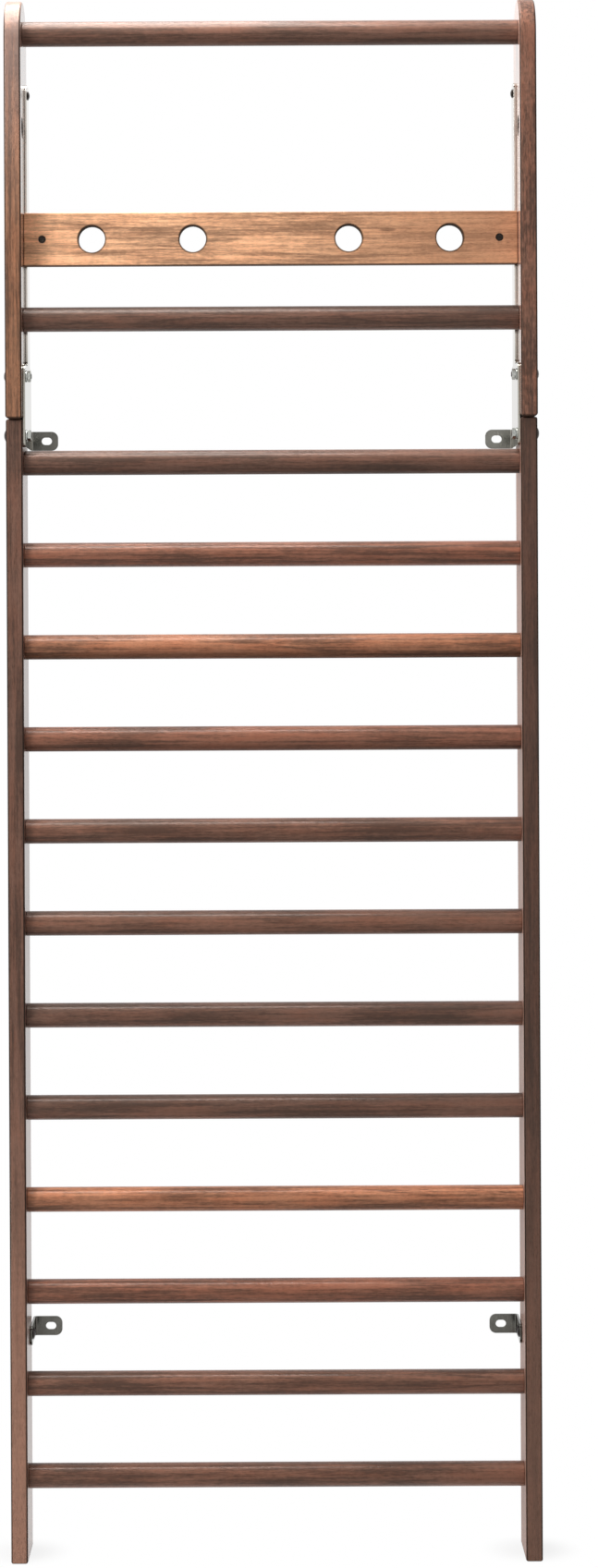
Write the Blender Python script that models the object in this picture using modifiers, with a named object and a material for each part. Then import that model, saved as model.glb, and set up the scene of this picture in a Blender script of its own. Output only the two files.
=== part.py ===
"""Wall bars in two sections, one above the other: four side uprights, fourteen round bars, a
pierced cross board, and folded steel brackets that splice the sections and reach back to the wall.

Metres, +Z up. The front faces -Y and the wall lies at +Y. The origin is on the floor, in the middle
of the overall box."""

import math
from collections import namedtuple

import bmesh
import bpy
from mathutils import Euler, Matrix, Vector

CLEARANCE = 0.0003  # between pieces that touch on the real object

# Uprights
WIDTH = 0.710  # over the outer faces
UPRIGHT_THICKNESS = 0.0224
LOWER_DEPTH = 0.090
UPPER_DEPTH = 0.110
UPPER_STEP = 0.010  # how far the upper uprights stand in front of the lower ones
WALL_GAP = 0.020  # from the back of the upper uprights to the wall
SPLIT_RISE = 0.05775  # of the joint between the sections above the ladder's top bar
HEAD_ROOM = 0.046  # from the pull-up bar's centre to the top of the uprights
EDGE_RADIUS = 0.003
SPLICE_END_RADIUS = 0.004
FOOT_RADIUS = 0.002

# Bars, from the floor up
LOWEST_BAR_HEIGHT = 0.110
LADDER_BARS = 12
BAR_PITCH = 0.12375
SECOND_BAR_RISE = 0.193
PULL_UP_BAR_RISE = 0.3835
BAR_DIAMETER = 0.033
BAR_SETBACK = 0.031  # of the bars' centres behind the front of the lower uprights
BAR_EASE = 0.0008
TENON_DIAMETER = 0.024
TENON_LENGTH = 0.014

# Cross board
BOARD_DROP = 0.275  # of its centre below the pull-up bar
BOARD_HEIGHT = 0.071
BOARD_THICKNESS = 0.020
BOARD_SETBACK = 0.0445  # of its face behind the front of the upper uprights
BOARD_EDGE_RADIUS = 0.0012
BOARD_CORNER_RADIUS = 0.0015
BOARD_HOLE_DIAMETER = 0.036
BOARD_HOLE_OFFSETS = (0.105, 0.241)  # either side of the middle

# Round hole through each upper upright
SIDE_HOLE_DIAMETER = 0.025
SIDE_HOLE_SETBACK = 0.030
SIDE_HOLE_DROP = 0.127  # below the pull-up bar

# Steel sheet and the tabs that it is folded into at the wall
SHEET = 0.003
FOLD_RADIUS = 0.002
TAB_LENGTH = 0.0365  # from the side leg's inner face to the tab's free end
TAB_HEIGHT = 0.026
TAB_CORNER_RADIUS = 0.009
SLOT_LENGTH = 0.014
SLOT_WIDTH = 0.010
SLOT_FROM_LEG = 0.021  # from the side leg's inner face to the slot's centre

# Upper bracket: a splice plate with a tail that stiffens the upper upright
PLATE_FRONT_MARGIN = 0.006  # behind the front of the lower uprights
PLATE_ABOVE_SPLIT = 0.074
PLATE_OVER_BAR = 0.0042  # above the ladder's top bar
PLATE_CORNER_RADIUS = 0.010
PLATE_WALL_MARGIN = 0.006
TAIL_DROP = 0.06275  # of its end below the pull-up bar
TAIL_BACK_MARGIN = 0.005  # in front of the back of the upper uprights
TAIL_FRONT_GAP = 0.0005
TAIL_CORNER_RADIUS = 0.012
TAIL_SCREW_FROM_END = 0.013

# Lower bracket
LOWER_BRACKET_RISE = 0.04525  # of its lower edge above the ladder's second bar
LOWER_LEG_REACH = 0.040  # of its front end in front of the back of the lower uprights
LOWER_LEG_CORNER_RADIUS = 0.009
LOWER_SCREW_STEPS = (0.013, 0.031)  # behind the leg's front end

# Fasteners
SPLICE_BOLT_DIAMETER = 0.008
SPLICE_HEAD_DIAMETER = 0.0166
SPLICE_HEAD_HEIGHT = 0.0032
SPLICE_BOLT_OVERHANG = 0.0008  # past the nut
SPLICE_BOLT_SETBACK = 0.018  # behind the front of the lower uprights
SPLICE_BOLT_ABOVE_SPLIT = 0.058
SPLICE_BOLT_BELOW_SPLIT = 0.0215
WASHER_DIAMETER = 0.016
WASHER_THICKNESS = 0.0016
NUT_ACROSS_FLATS = 0.013
NUT_HEIGHT = 0.005
BOARD_BOLT_DIAMETER = 0.006
BARREL_DIAMETER = 0.010
BARREL_LENGTH = 0.016
BARREL_FROM_END = 0.0245  # of the cross board
BARREL_SUNK = 0.0005
BOARD_BOLT_HEAD_DIAMETER = 0.013
BOARD_BOLT_HEAD_HEIGHT = 0.0025
BOARD_BOLT_PAST_BARREL = 0.003
FASTENER_EASE = 0.0005
SCREW_DIAMETER = 0.0045
SCREW_HEAD_DIAMETER = 0.012
SCREW_HEAD_HEIGHT = 0.0026
SCREW_LENGTH = 0.018
SCREW_TIP_LENGTH = 0.004
DOWEL_DIAMETER = 0.010
DOWEL_LENGTH = 0.060
DOWEL_EASE = 0.001
DOWEL_SETBACKS = (0.042, 0.072)  # behind the front of the lower uprights

# Facets
BAR_SIDES = 20
BORE_SIDES = 20
SMALL_SIDES = 12
CORNER_CHORD_ERROR = 0.0002
FOLD_STEPS = 3
ROUND_ANGLE = math.radians(35)  # facets that meet at less than this are shaded as one surface
FLAT_ANGLE = math.radians(1)  # facets that meet at less than this are one face
WELD = 1e-6

# Places that follow from the sizes above
OVERALL_DEPTH = UPPER_DEPTH + WALL_GAP
UPPER_FRONT = -OVERALL_DEPTH / 2
UPPER_BACK = UPPER_FRONT + UPPER_DEPTH
WALL = OVERALL_DEPTH / 2
LOWER_FRONT = UPPER_FRONT + UPPER_STEP
LOWER_BACK = LOWER_FRONT + LOWER_DEPTH
INNER_FACE = WIDTH / 2 - UPRIGHT_THICKNESS
UPRIGHT_MIDDLE = WIDTH / 2 - UPRIGHT_THICKNESS / 2
SIDES = (("left", -1), ("right", 1))

BAR_Y = LOWER_FRONT + BAR_SETBACK
LADDER_HEIGHTS = [LOWEST_BAR_HEIGHT + BAR_PITCH * step for step in range(LADDER_BARS)]
SPLIT = LADDER_HEIGHTS[-1] + SPLIT_RISE
SECOND_BAR_HEIGHT = LADDER_HEIGHTS[-1] + SECOND_BAR_RISE
PULL_UP_BAR_HEIGHT = SECOND_BAR_HEIGHT + PULL_UP_BAR_RISE
TOP = PULL_UP_BAR_HEIGHT + HEAD_ROOM

BOARD_FRONT = UPPER_FRONT + BOARD_SETBACK
BOARD_END = INNER_FACE - CLEARANCE
BOARD_CENTRE = (0, BOARD_FRONT + BOARD_THICKNESS / 2, PULL_UP_BAR_HEIGHT - BOARD_DROP)
BARREL_X = BOARD_END - BARREL_FROM_END

LEG_FACE = INNER_FACE - CLEARANCE - SHEET
PLATE_FRONT = LOWER_FRONT + PLATE_FRONT_MARGIN
PLATE_BOTTOM = LADDER_HEIGHTS[-1] + BAR_DIAMETER / 2 + PLATE_OVER_BAR
TAIL_FRONT = max(BOARD_FRONT + BOARD_THICKNESS, BAR_Y + BAR_DIAMETER / 2) + TAIL_FRONT_GAP
TAIL_BACK = UPPER_BACK - TAIL_BACK_MARGIN
TAIL_END = PULL_UP_BAR_HEIGHT - TAIL_DROP
TAIL_SCREW = ((TAIL_FRONT + TAIL_BACK) / 2, TAIL_END - TAIL_SCREW_FROM_END)
SPLICE_BOLTS = (
    ("lower", LOWER_FRONT + SPLICE_BOLT_SETBACK, SPLIT - SPLICE_BOLT_BELOW_SPLIT),
    ("upper", LOWER_FRONT + SPLICE_BOLT_SETBACK, SPLIT + SPLICE_BOLT_ABOVE_SPLIT),
)
LOWER_LEG_FRONT = LOWER_BACK - LOWER_LEG_REACH
LOWER_BRACKET_BOTTOM = LADDER_HEIGHTS[1] + LOWER_BRACKET_RISE
LOWER_SCREWS = [
    (end, LOWER_LEG_FRONT + step, LOWER_BRACKET_BOTTOM + TAB_HEIGHT / 2)
    for end, step in zip(("front", "rear"), LOWER_SCREW_STEPS)
]
DOWELS = [
    (f"{side}_{end}", (sign * UPRIGHT_MIDDLE, LOWER_FRONT + setback, SPLIT))
    for side, sign in SIDES
    for end, setback in zip(("front", "rear"), DOWEL_SETBACKS)
]

# Turns of a piece that is made round its own Z, or flat in its own XY plane
ALONG_X = (0, math.pi / 2, 0)
ALONG_MINUS_X = (0, -math.pi / 2, 0)
FACING_FRONT = (math.pi / 2, 0, 0)  # its own X and Y lie along X and Z, its own Z along -Y
FACING_SIDEWAYS = (math.pi / 2, 0, math.pi / 2)  # its own X and Y lie along Y and Z

Bore = namedtuple("Bore", "centre turn radius length sides")


def clear_scene():
    for old in list(bpy.data.objects):
        bpy.data.objects.remove(old, do_unlink=True)


def new_collection(name):
    made = bpy.data.collections.new(name)
    bpy.context.scene.collection.children.link(made)
    return made


def new_section(name):
    """An empty that holds the pieces of one section."""
    section = bpy.data.objects.new(name, None)
    parts.objects.link(section)
    return section


def material(name, colour, roughness, metallic=0.0):
    made = bpy.data.materials.new(name)
    made.use_nodes = True
    shader = made.node_tree.nodes["Principled BSDF"]
    shader.inputs["Base Color"].default_value = (*colour, 1.0)
    shader.inputs["Roughness"].default_value = roughness
    shader.inputs["Metallic"].default_value = metallic
    return made


def place(name, mesh, section, location=(0, 0, 0), turn=(0, 0, 0)):
    piece = bpy.data.objects.new(name, mesh)
    parts.objects.link(piece)
    piece.location = location
    piece.rotation_euler = turn
    piece.parent = section
    return piece


# Outlines


def corner_steps(radius, angle):
    """How many chords take a corner while each stays within the chord error of its arc."""
    chord = 2 * math.acos(1 - min(CORNER_CHORD_ERROR / radius, 1))
    return max(2, math.ceil(angle / chord))


def rounded(corners):
    """The points of a closed outline whose corners are (u, v, radius)."""
    points = []
    for index, (u, v, radius) in enumerate(corners):
        corner = Vector((u, v))
        back = (Vector(corners[index - 1][:2]) - corner).normalized()
        ahead = (Vector(corners[(index + 1) % len(corners)][:2]) - corner).normalized()
        half = back.angle(ahead) / 2
        middle = corner + (back + ahead).normalized() * (radius / math.sin(half))
        start = corner + back * (radius / math.tan(half)) - middle
        end = corner + ahead * (radius / math.tan(half)) - middle
        turn = start.angle_signed(end)
        steps = corner_steps(radius, abs(turn))
        arc = [middle + Matrix.Rotation(-turn * step / steps, 2) @ start for step in range(steps + 1)]
        points += [point for point in arc if not points or (point - points[-1]).length > WELD]
    if (points[0] - points[-1]).length <= WELD:
        points.pop()
    return points


def circle(radius, sides):
    return [Matrix.Rotation(math.tau * step / sides, 2) @ Vector((radius, 0)) for step in range(sides)]


def hole(centre, radius, sides):
    """A round hole in an outline. It runs clockwise, against the outline round it."""
    return [Vector(centre) + point for point in reversed(circle(radius, sides))]


def slot(centre):
    """A slot with round ends, clockwise as a hole is."""
    u, v = centre
    left, right = u - SLOT_LENGTH / 2, u + SLOT_LENGTH / 2
    radius = SLOT_WIDTH / 2
    return rounded(
        [
            (left, v - radius, radius),
            (left, v + radius, radius),
            (right, v + radius, radius),
            (right, v - radius, radius),
        ]
    )


# Meshes


def evaluated_mesh(guide, name, finish):
    """What a guide's curve or modifier makes, as a welded mesh. The guide itself is removed."""
    bpy.context.scene.collection.objects.link(guide)
    graph = bpy.context.evaluated_depsgraph_get()
    mesh = bpy.data.meshes.new_from_object(guide.evaluated_get(graph))
    bpy.data.objects.remove(guide, do_unlink=True)
    mesh.name = name
    mesh.materials.clear()
    mesh.materials.append(finish)
    shape = bmesh.new()
    shape.from_mesh(mesh)
    bmesh.ops.remove_doubles(shape, verts=shape.verts, dist=WELD)
    bmesh.ops.recalc_face_normals(shape, faces=shape.faces)
    shape.to_mesh(mesh)
    shape.free()
    return mesh


def flat_mesh(name, outlines, thickness, finish, edge=0.0, edge_steps=1):
    """A plate of these outlines, centred on its own XY plane, with its edges rounded."""
    curve = bpy.data.curves.new(name, "CURVE")
    curve.dimensions = "2D"
    curve.fill_mode = "BOTH"
    curve.extrude = thickness / 2 - edge
    curve.bevel_depth = edge
    curve.bevel_resolution = edge_steps - 1
    curve.offset = -edge
    for points in outlines:
        spline = curve.splines.new("POLY")
        spline.points.add(len(points) - 1)
        spline.use_cyclic_u = True
        for spline_point, (u, v) in zip(spline.points, points):
            spline_point.co = (u, v, 0, 1)
    return evaluated_mesh(bpy.data.objects.new(name, curve), name, finish)


def turned_mesh(name, profile, sides, finish):
    """A turned piece round its own Z, from (radius, height) pairs that run down its outside."""
    line = bpy.data.meshes.new(name + "_profile")
    points = [(radius, 0, height) for radius, height in profile]
    line.from_pydata(points, [(i, i + 1) for i in range(len(points) - 1)], [])
    guide = bpy.data.objects.new(name + "_profile", line)
    screw = guide.modifiers.new("turn", "SCREW")
    screw.steps = sides
    screw.render_steps = sides
    screw.use_merge_vertices = True
    screw.merge_threshold = WELD
    mesh = evaluated_mesh(guide, name, finish)
    mesh.shade_smooth()
    mesh.set_sharp_from_angle(angle=ROUND_ANGLE)
    return mesh


def folded_mesh(name, outlines, fold_start, sign):
    """Folds a flat blank through a right angle, towards the middle from the side that sign gives.

    The blank's u runs back to the wall and its v runs up. Folded, the leg's outer skin lies at x = 0
    and the tab's back at y = 0."""
    mesh = flat_mesh(name, outlines, SHEET, BRACKET_STEEL)
    outer_radius = FOLD_RADIUS + SHEET
    fold_length = (FOLD_RADIUS + SHEET / 2) * math.pi / 2
    shape = bmesh.new()
    shape.from_mesh(mesh)
    bmesh.ops.dissolve_limit(shape, angle_limit=FLAT_ANGLE, verts=shape.verts, edges=shape.edges)
    for step in range(FOLD_STEPS + 1):
        everything = shape.verts[:] + shape.edges[:] + shape.faces[:]
        line = (fold_start + fold_length * step / FOLD_STEPS, 0, 0)
        bmesh.ops.bisect_plane(shape, geom=everything, dist=WELD, plane_co=line, plane_no=(1, 0, 0))
    bmesh.ops.triangulate(shape, faces=shape.faces)
    for vert in shape.verts:
        u, v, across = vert.co
        past = u - fold_start
        angle = min(max(past / fold_length, 0), 1) * math.pi / 2
        radius = outer_radius - (across + SHEET / 2)
        inset = outer_radius - radius * math.cos(angle) + max(past - fold_length, 0)
        back = min(past, 0) + radius * math.sin(angle) - outer_radius
        vert.co = (-sign * inset, back, v)
    if sign > 0:
        bmesh.ops.reverse_faces(shape, faces=shape.faces)
    shape.to_mesh(mesh)
    shape.free()
    return mesh


# Bores


def bore_cutter(name, bores):
    """One helper that holds bores which don't meet each other."""
    shape = bmesh.new()
    for bore in bores:
        bmesh.ops.create_cone(
            shape,
            cap_ends=True,
            segments=bore.sides,
            radius1=bore.radius,
            radius2=bore.radius,
            depth=bore.length,
            matrix=Matrix.Translation(bore.centre) @ Euler(bore.turn).to_matrix().to_4x4(),
        )
    mesh = bpy.data.meshes.new(name)
    shape.to_mesh(mesh)
    shape.free()
    cutter = bpy.data.objects.new(name, mesh)
    cutters.objects.link(cutter)
    cutter.hide_render = True
    cutter.display_type = "WIRE"
    return cutter


def cut(piece, cutter):
    boolean = piece.modifiers.new(cutter.name, "BOOLEAN")
    boolean.operation = "DIFFERENCE"
    boolean.solver = "EXACT"
    boolean.object = cutter


def into_uprights(y, z, diameter, depth, sides=SMALL_SIDES):
    """A bore along X that goes this deep into both uprights at (y, z)."""
    return Bore((0, y, z), ALONG_X, diameter / 2 + CLEARANCE, 2 * (INNER_FACE + depth), sides)


def bolt_bore(y, z, diameter):
    return into_uprights(y, z, diameter, 2 * UPRIGHT_THICKNESS)


def socket_bore(height):
    return into_uprights(BAR_Y, height, TENON_DIAMETER, TENON_LENGTH + CLEARANCE, BORE_SIDES)


def side_hole_bore():
    centre = (0, UPPER_FRONT + SIDE_HOLE_SETBACK, PULL_UP_BAR_HEIGHT - SIDE_HOLE_DROP)
    return Bore(centre, ALONG_X, SIDE_HOLE_DIAMETER / 2, 2 * WIDTH, BORE_SIDES)


def screw_bore(y, z):
    return into_uprights(y, z, SCREW_DIAMETER, SCREW_LENGTH - SHEET)


def dowel_bores():
    radius = DOWEL_DIAMETER / 2 + CLEARANCE
    length = DOWEL_LENGTH + 2 * CLEARANCE
    return [Bore(centre, (0, 0, 0), radius, length, SMALL_SIDES) for _, centre in DOWELS]


def board_bolt_seats():
    """The flat seats that sink the board bolts' heads in the uprights' outer faces."""
    radius = BOARD_BOLT_HEAD_DIAMETER / 2 + CLEARANCE
    length = 2 * (BOARD_BOLT_HEAD_HEIGHT + 2 * CLEARANCE)
    _, y, z = BOARD_CENTRE
    return [Bore((sign * WIDTH / 2, y, z), ALONG_X, radius, length, BORE_SIDES) for _, sign in SIDES]


# Wood


def build_lower_uprights():
    half_height = (SPLIT - CLEARANCE / 2) / 2
    half_depth = LOWER_DEPTH / 2
    outline = rounded(
        [
            (-half_depth, -half_height, FOOT_RADIUS),
            (half_depth, -half_height, FOOT_RADIUS),
            (half_depth, half_height, FOOT_RADIUS),
            (-half_depth, half_height, FOOT_RADIUS),
        ]
    )
    _, bolt_y, bolt_z = SPLICE_BOLTS[0]
    bores = [socket_bore(height) for height in LADDER_HEIGHTS] + dowel_bores()
    bores.append(bolt_bore(bolt_y, bolt_z, SPLICE_BOLT_DIAMETER))
    bores += [screw_bore(y, z) for _, y, z in LOWER_SCREWS]
    cutter = bore_cutter("lower_upright_bores", bores)
    mesh = flat_mesh("lower_upright", [outline], UPRIGHT_THICKNESS, WALNUT, EDGE_RADIUS, 2)
    for side, sign in SIDES:
        centre = (sign * UPRIGHT_MIDDLE, LOWER_FRONT + half_depth, half_height)
        cut(place(f"lower_upright_{side}", mesh, lower_section, centre, FACING_SIDEWAYS), cutter)


def build_upper_uprights():
    bottom = SPLIT + CLEARANCE / 2
    half_height = (TOP - bottom) / 2
    half_depth = UPPER_DEPTH / 2
    outline = rounded(
        [
            (-half_depth, -half_height, SPLICE_END_RADIUS),
            (half_depth, -half_height, SPLICE_END_RADIUS),
            (half_depth, half_height, half_depth),
            (-half_depth, half_height, half_depth),
        ]
    )
    _, bolt_y, bolt_z = SPLICE_BOLTS[1]
    _, board_y, board_z = BOARD_CENTRE
    bores = [socket_bore(height) for height in (SECOND_BAR_HEIGHT, PULL_UP_BAR_HEIGHT)] + dowel_bores()
    bores.append(bolt_bore(bolt_y, bolt_z, SPLICE_BOLT_DIAMETER))
    bores.append(bolt_bore(board_y, board_z, BOARD_BOLT_DIAMETER))
    bores += [screw_bore(*TAIL_SCREW), side_hole_bore()]
    cutter = bore_cutter("upper_upright_bores", bores)
    seats = bore_cutter("board_bolt_seats", board_bolt_seats())
    mesh = flat_mesh("upper_upright", [outline], UPRIGHT_THICKNESS, WALNUT, EDGE_RADIUS, 2)
    for side, sign in SIDES:
        centre = (sign * UPRIGHT_MIDDLE, UPPER_FRONT + half_depth, (bottom + TOP) / 2)
        upright = place(f"upper_upright_{side}", mesh, upper_section, centre, FACING_SIDEWAYS)
        cut(upright, cutter)
        cut(upright, seats)


def build_bars():
    """Every bar is turned from one profile: tenon, shoulder, body, shoulder, tenon."""
    end = INNER_FACE + TENON_LENGTH
    shoulder = INNER_FACE - CLEARANCE
    tenon_radius = TENON_DIAMETER / 2
    body_radius = BAR_DIAMETER / 2
    half = [
        (0, end),
        (tenon_radius, end),
        (tenon_radius, shoulder),
        (body_radius - BAR_EASE, shoulder),
        (body_radius, shoulder - BAR_EASE),
    ]
    profile = half + [(radius, -height) for radius, height in reversed(half)]
    mesh = turned_mesh("bar", profile, BAR_SIDES, BAR_WALNUT)
    place("pull_up_bar", mesh, upper_section, (0, BAR_Y, PULL_UP_BAR_HEIGHT), ALONG_X)
    place("bar_02", mesh, upper_section, (0, BAR_Y, SECOND_BAR_HEIGHT), ALONG_X)
    for number, height in enumerate(reversed(LADDER_HEIGHTS), 3):
        place(f"bar_{number:02d}", mesh, lower_section, (0, BAR_Y, height), ALONG_X)


def build_cross_board():
    half_height = BOARD_HEIGHT / 2
    outline = rounded(
        [
            (-BOARD_END, -half_height, BOARD_CORNER_RADIUS),
            (BOARD_END, -half_height, BOARD_CORNER_RADIUS),
            (BOARD_END, half_height, BOARD_CORNER_RADIUS),
            (-BOARD_END, half_height, BOARD_CORNER_RADIUS),
        ]
    )
    hole_radius = BOARD_HOLE_DIAMETER / 2
    holes = [hole((sign * x, 0), hole_radius, BORE_SIDES) for x in BOARD_HOLE_OFFSETS for _, sign in SIDES]
    mesh = flat_mesh("cross_board", [outline, *holes], BOARD_THICKNESS, PALE_WOOD, BOARD_EDGE_RADIUS)
    board = place("cross_board", mesh, upper_section, BOARD_CENTRE, FACING_FRONT)

    _, y, z = BOARD_CENTRE
    barrel_reach = BARREL_SUNK + BARREL_LENGTH + CLEARANCE
    bolt_reach = BARREL_FROM_END + BARREL_DIAMETER / 2 + BOARD_BOLT_PAST_BARREL + CLEARANCE
    barrel_radius = BARREL_DIAMETER / 2 + CLEARANCE
    bolt_radius = BOARD_BOLT_DIAMETER / 2 + CLEARANCE
    barrel_bores = []
    bolt_bores = []
    for _, sign in SIDES:
        mouth = (sign * BARREL_X, BOARD_FRONT, z)
        barrel_bores.append(Bore(mouth, FACING_FRONT, barrel_radius, 2 * barrel_reach, SMALL_SIDES))
        end = (sign * BOARD_END, y, z)
        bolt_bores.append(Bore(end, ALONG_X, bolt_radius, 2 * bolt_reach, SMALL_SIDES))
    cut(board, bore_cutter("barrel_nut_bores", barrel_bores))
    cut(board, bore_cutter("board_bolt_bores", bolt_bores))


def build_dowels():
    radius = DOWEL_DIAMETER / 2
    half_length = DOWEL_LENGTH / 2
    half = [(0, half_length), (radius - DOWEL_EASE, half_length), (radius, half_length - DOWEL_EASE)]
    profile = half + [(r, -height) for r, height in reversed(half)]
    mesh = turned_mesh("splice_dowel", profile, SMALL_SIDES, DOWEL_WOOD)
    for name, centre in DOWELS:
        place(f"splice_dowel_{name}", mesh, lower_section, centre)


# Folded steel


def blank_marks(leg):
    """Along a blank, from the front end of its leg: the start of its fold, its slot and its free end."""
    fold_start = leg - FOLD_RADIUS - SHEET
    tab_start = fold_start + (FOLD_RADIUS + SHEET / 2) * math.pi / 2
    return fold_start, tab_start + SLOT_FROM_LEG - FOLD_RADIUS, tab_start + TAB_LENGTH - FOLD_RADIUS


def build_upper_brackets():
    fold_start, slot_centre, free_end = blank_marks(WALL - PLATE_FRONT)
    plate_back = WALL - PLATE_WALL_MARGIN - PLATE_FRONT
    plate_top = SPLIT + PLATE_ABOVE_SPLIT - PLATE_BOTTOM
    tail_front = TAIL_FRONT - PLATE_FRONT
    tail_back = TAIL_BACK - PLATE_FRONT
    tail_end = TAIL_END - PLATE_BOTTOM
    outline = rounded(
        [
            (0, 0, PLATE_CORNER_RADIUS),
            (free_end, 0, TAB_CORNER_RADIUS),
            (free_end, TAB_HEIGHT, TAB_CORNER_RADIUS),
            (plate_back, TAB_HEIGHT, FOLD_RADIUS),
            (plate_back, plate_top, PLATE_CORNER_RADIUS),
            (tail_back, plate_top, FOLD_RADIUS),
            (tail_back, tail_end, TAIL_CORNER_RADIUS),
            (tail_front, tail_end, TAIL_CORNER_RADIUS),
            (tail_front, plate_top, PLATE_CORNER_RADIUS),
            (0, plate_top, PLATE_CORNER_RADIUS),
        ]
    )
    fixings = [(y, z, SPLICE_BOLT_DIAMETER) for _, y, z in SPLICE_BOLTS]
    fixings.append((*TAIL_SCREW, SCREW_DIAMETER))
    holes = [
        hole((y - PLATE_FRONT, z - PLATE_BOTTOM), diameter / 2 + CLEARANCE, SMALL_SIDES)
        for y, z, diameter in fixings
    ]
    outlines = [outline, slot((slot_centre, TAB_HEIGHT / 2)), *holes]
    for side, sign in SIDES:
        name = f"upper_wall_bracket_{side}"
        mesh = folded_mesh(name, outlines, fold_start, sign)
        place(name, mesh, upper_section, (sign * (INNER_FACE - CLEARANCE), WALL, PLATE_BOTTOM))


def build_lower_brackets():
    fold_start, slot_centre, free_end = blank_marks(WALL - LOWER_LEG_FRONT)
    outline = rounded(
        [
            (0, 0, LOWER_LEG_CORNER_RADIUS),
            (free_end, 0, TAB_CORNER_RADIUS),
            (free_end, TAB_HEIGHT, TAB_CORNER_RADIUS),
            (0, TAB_HEIGHT, LOWER_LEG_CORNER_RADIUS),
        ]
    )
    radius = SCREW_DIAMETER / 2 + CLEARANCE
    holes = [hole((step, TAB_HEIGHT / 2), radius, SMALL_SIDES) for step in LOWER_SCREW_STEPS]
    outlines = [outline, slot((slot_centre, TAB_HEIGHT / 2)), *holes]
    for side, sign in SIDES:
        name = f"lower_wall_bracket_{side}"
        mesh = folded_mesh(name, outlines, fold_start, sign)
        place(name, mesh, lower_section, (sign * (INNER_FACE - CLEARANCE), WALL, LOWER_BRACKET_BOTTOM))


# Fasteners


def pointing(sign):
    """Turns a headed piece so that its head faces outwards on the side that sign gives."""
    return ALONG_X if sign > 0 else ALONG_MINUS_X


def domed_head(diameter, height):
    """The part of a profile that runs down a domed head to its seat at height 0."""
    shape = ((0, 1), (0.55, 0.82), (0.88, 0.42), (1, 0))
    return [(diameter / 2 * across, height * up) for across, up in shape]


def build_splice_bolts():
    head_seat = WIDTH / 2 + CLEARANCE
    washer_seat = LEG_FACE - CLEARANCE
    nut_seat = washer_seat - WASHER_THICKNESS - CLEARANCE
    length = head_seat - nut_seat + NUT_HEIGHT + SPLICE_BOLT_OVERHANG
    radius = SPLICE_BOLT_DIAMETER / 2
    shank = [(radius, 0), (radius, FASTENER_EASE - length), (radius - FASTENER_EASE, -length), (0, -length)]
    profile = domed_head(SPLICE_HEAD_DIAMETER, SPLICE_HEAD_HEIGHT) + shank
    bolt_mesh = turned_mesh("splice_bolt", profile, SMALL_SIDES, BLACK_STEEL)
    bolt_hole = hole((0, 0), radius + CLEARANCE, SMALL_SIDES)
    washer_outlines = [circle(WASHER_DIAMETER / 2, BORE_SIDES), bolt_hole]
    washer_mesh = flat_mesh("splice_washer", washer_outlines, WASHER_THICKNESS, BRIGHT_ZINC)
    nut_outlines = [circle(NUT_ACROSS_FLATS / math.sqrt(3), 6), bolt_hole]
    nut_mesh = flat_mesh("splice_nut", nut_outlines, NUT_HEIGHT, BRIGHT_ZINC)
    for side, sign in SIDES:
        for end, y, z in SPLICE_BOLTS:
            section = lower_section if end == "lower" else upper_section
            washer_x = washer_seat - WASHER_THICKNESS / 2
            nut_x = nut_seat - NUT_HEIGHT / 2
            place(f"splice_bolt_{side}_{end}", bolt_mesh, section, (sign * head_seat, y, z), pointing(sign))
            place(f"splice_washer_{side}_{end}", washer_mesh, section, (sign * washer_x, y, z), ALONG_X)
            place(f"splice_nut_{side}_{end}", nut_mesh, section, (sign * nut_x, y, z), ALONG_X)


def build_board_fasteners():
    """A bolt through each upper upright, screwed into a barrel nut that lies in the cross board."""
    _, y, z = BOARD_CENTRE
    head_radius = BOARD_BOLT_HEAD_DIAMETER / 2
    head_seat = WIDTH / 2 - BOARD_BOLT_HEAD_HEIGHT - CLEARANCE
    length = head_seat - BARREL_X + BARREL_DIAMETER / 2 + BOARD_BOLT_PAST_BARREL
    radius = BOARD_BOLT_DIAMETER / 2
    bolt_profile = [
        (0, BOARD_BOLT_HEAD_HEIGHT),
        (head_radius - FASTENER_EASE, BOARD_BOLT_HEAD_HEIGHT),
        (head_radius, BOARD_BOLT_HEAD_HEIGHT - FASTENER_EASE),
        (head_radius, 0),
        (radius, 0),
        (radius, -length),
        (0, -length),
    ]
    bolt_mesh = turned_mesh("board_bolt", bolt_profile, SMALL_SIDES, BLACK_STEEL)

    barrel_radius = BARREL_DIAMETER / 2
    barrel_profile = [
        (0, 0),
        (barrel_radius - FASTENER_EASE, 0),
        (barrel_radius, -FASTENER_EASE),
        (barrel_radius, -BARREL_LENGTH),
        (0, -BARREL_LENGTH),
    ]
    barrel_mesh = turned_mesh("barrel_nut", barrel_profile, SMALL_SIDES, BLACK_STEEL)
    threaded = Bore((0, y, z), ALONG_X, radius + CLEARANCE, WIDTH, SMALL_SIDES)
    thread_cutter = bore_cutter("barrel_nut_thread", [threaded])
    for side, sign in SIDES:
        place(f"board_bolt_{side}", bolt_mesh, upper_section, (sign * head_seat, y, z), pointing(sign))
        mouth = (sign * BARREL_X, BOARD_FRONT + BARREL_SUNK, z)
        cut(place(f"barrel_nut_{side}", barrel_mesh, upper_section, mouth, FACING_FRONT), thread_cutter)


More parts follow.
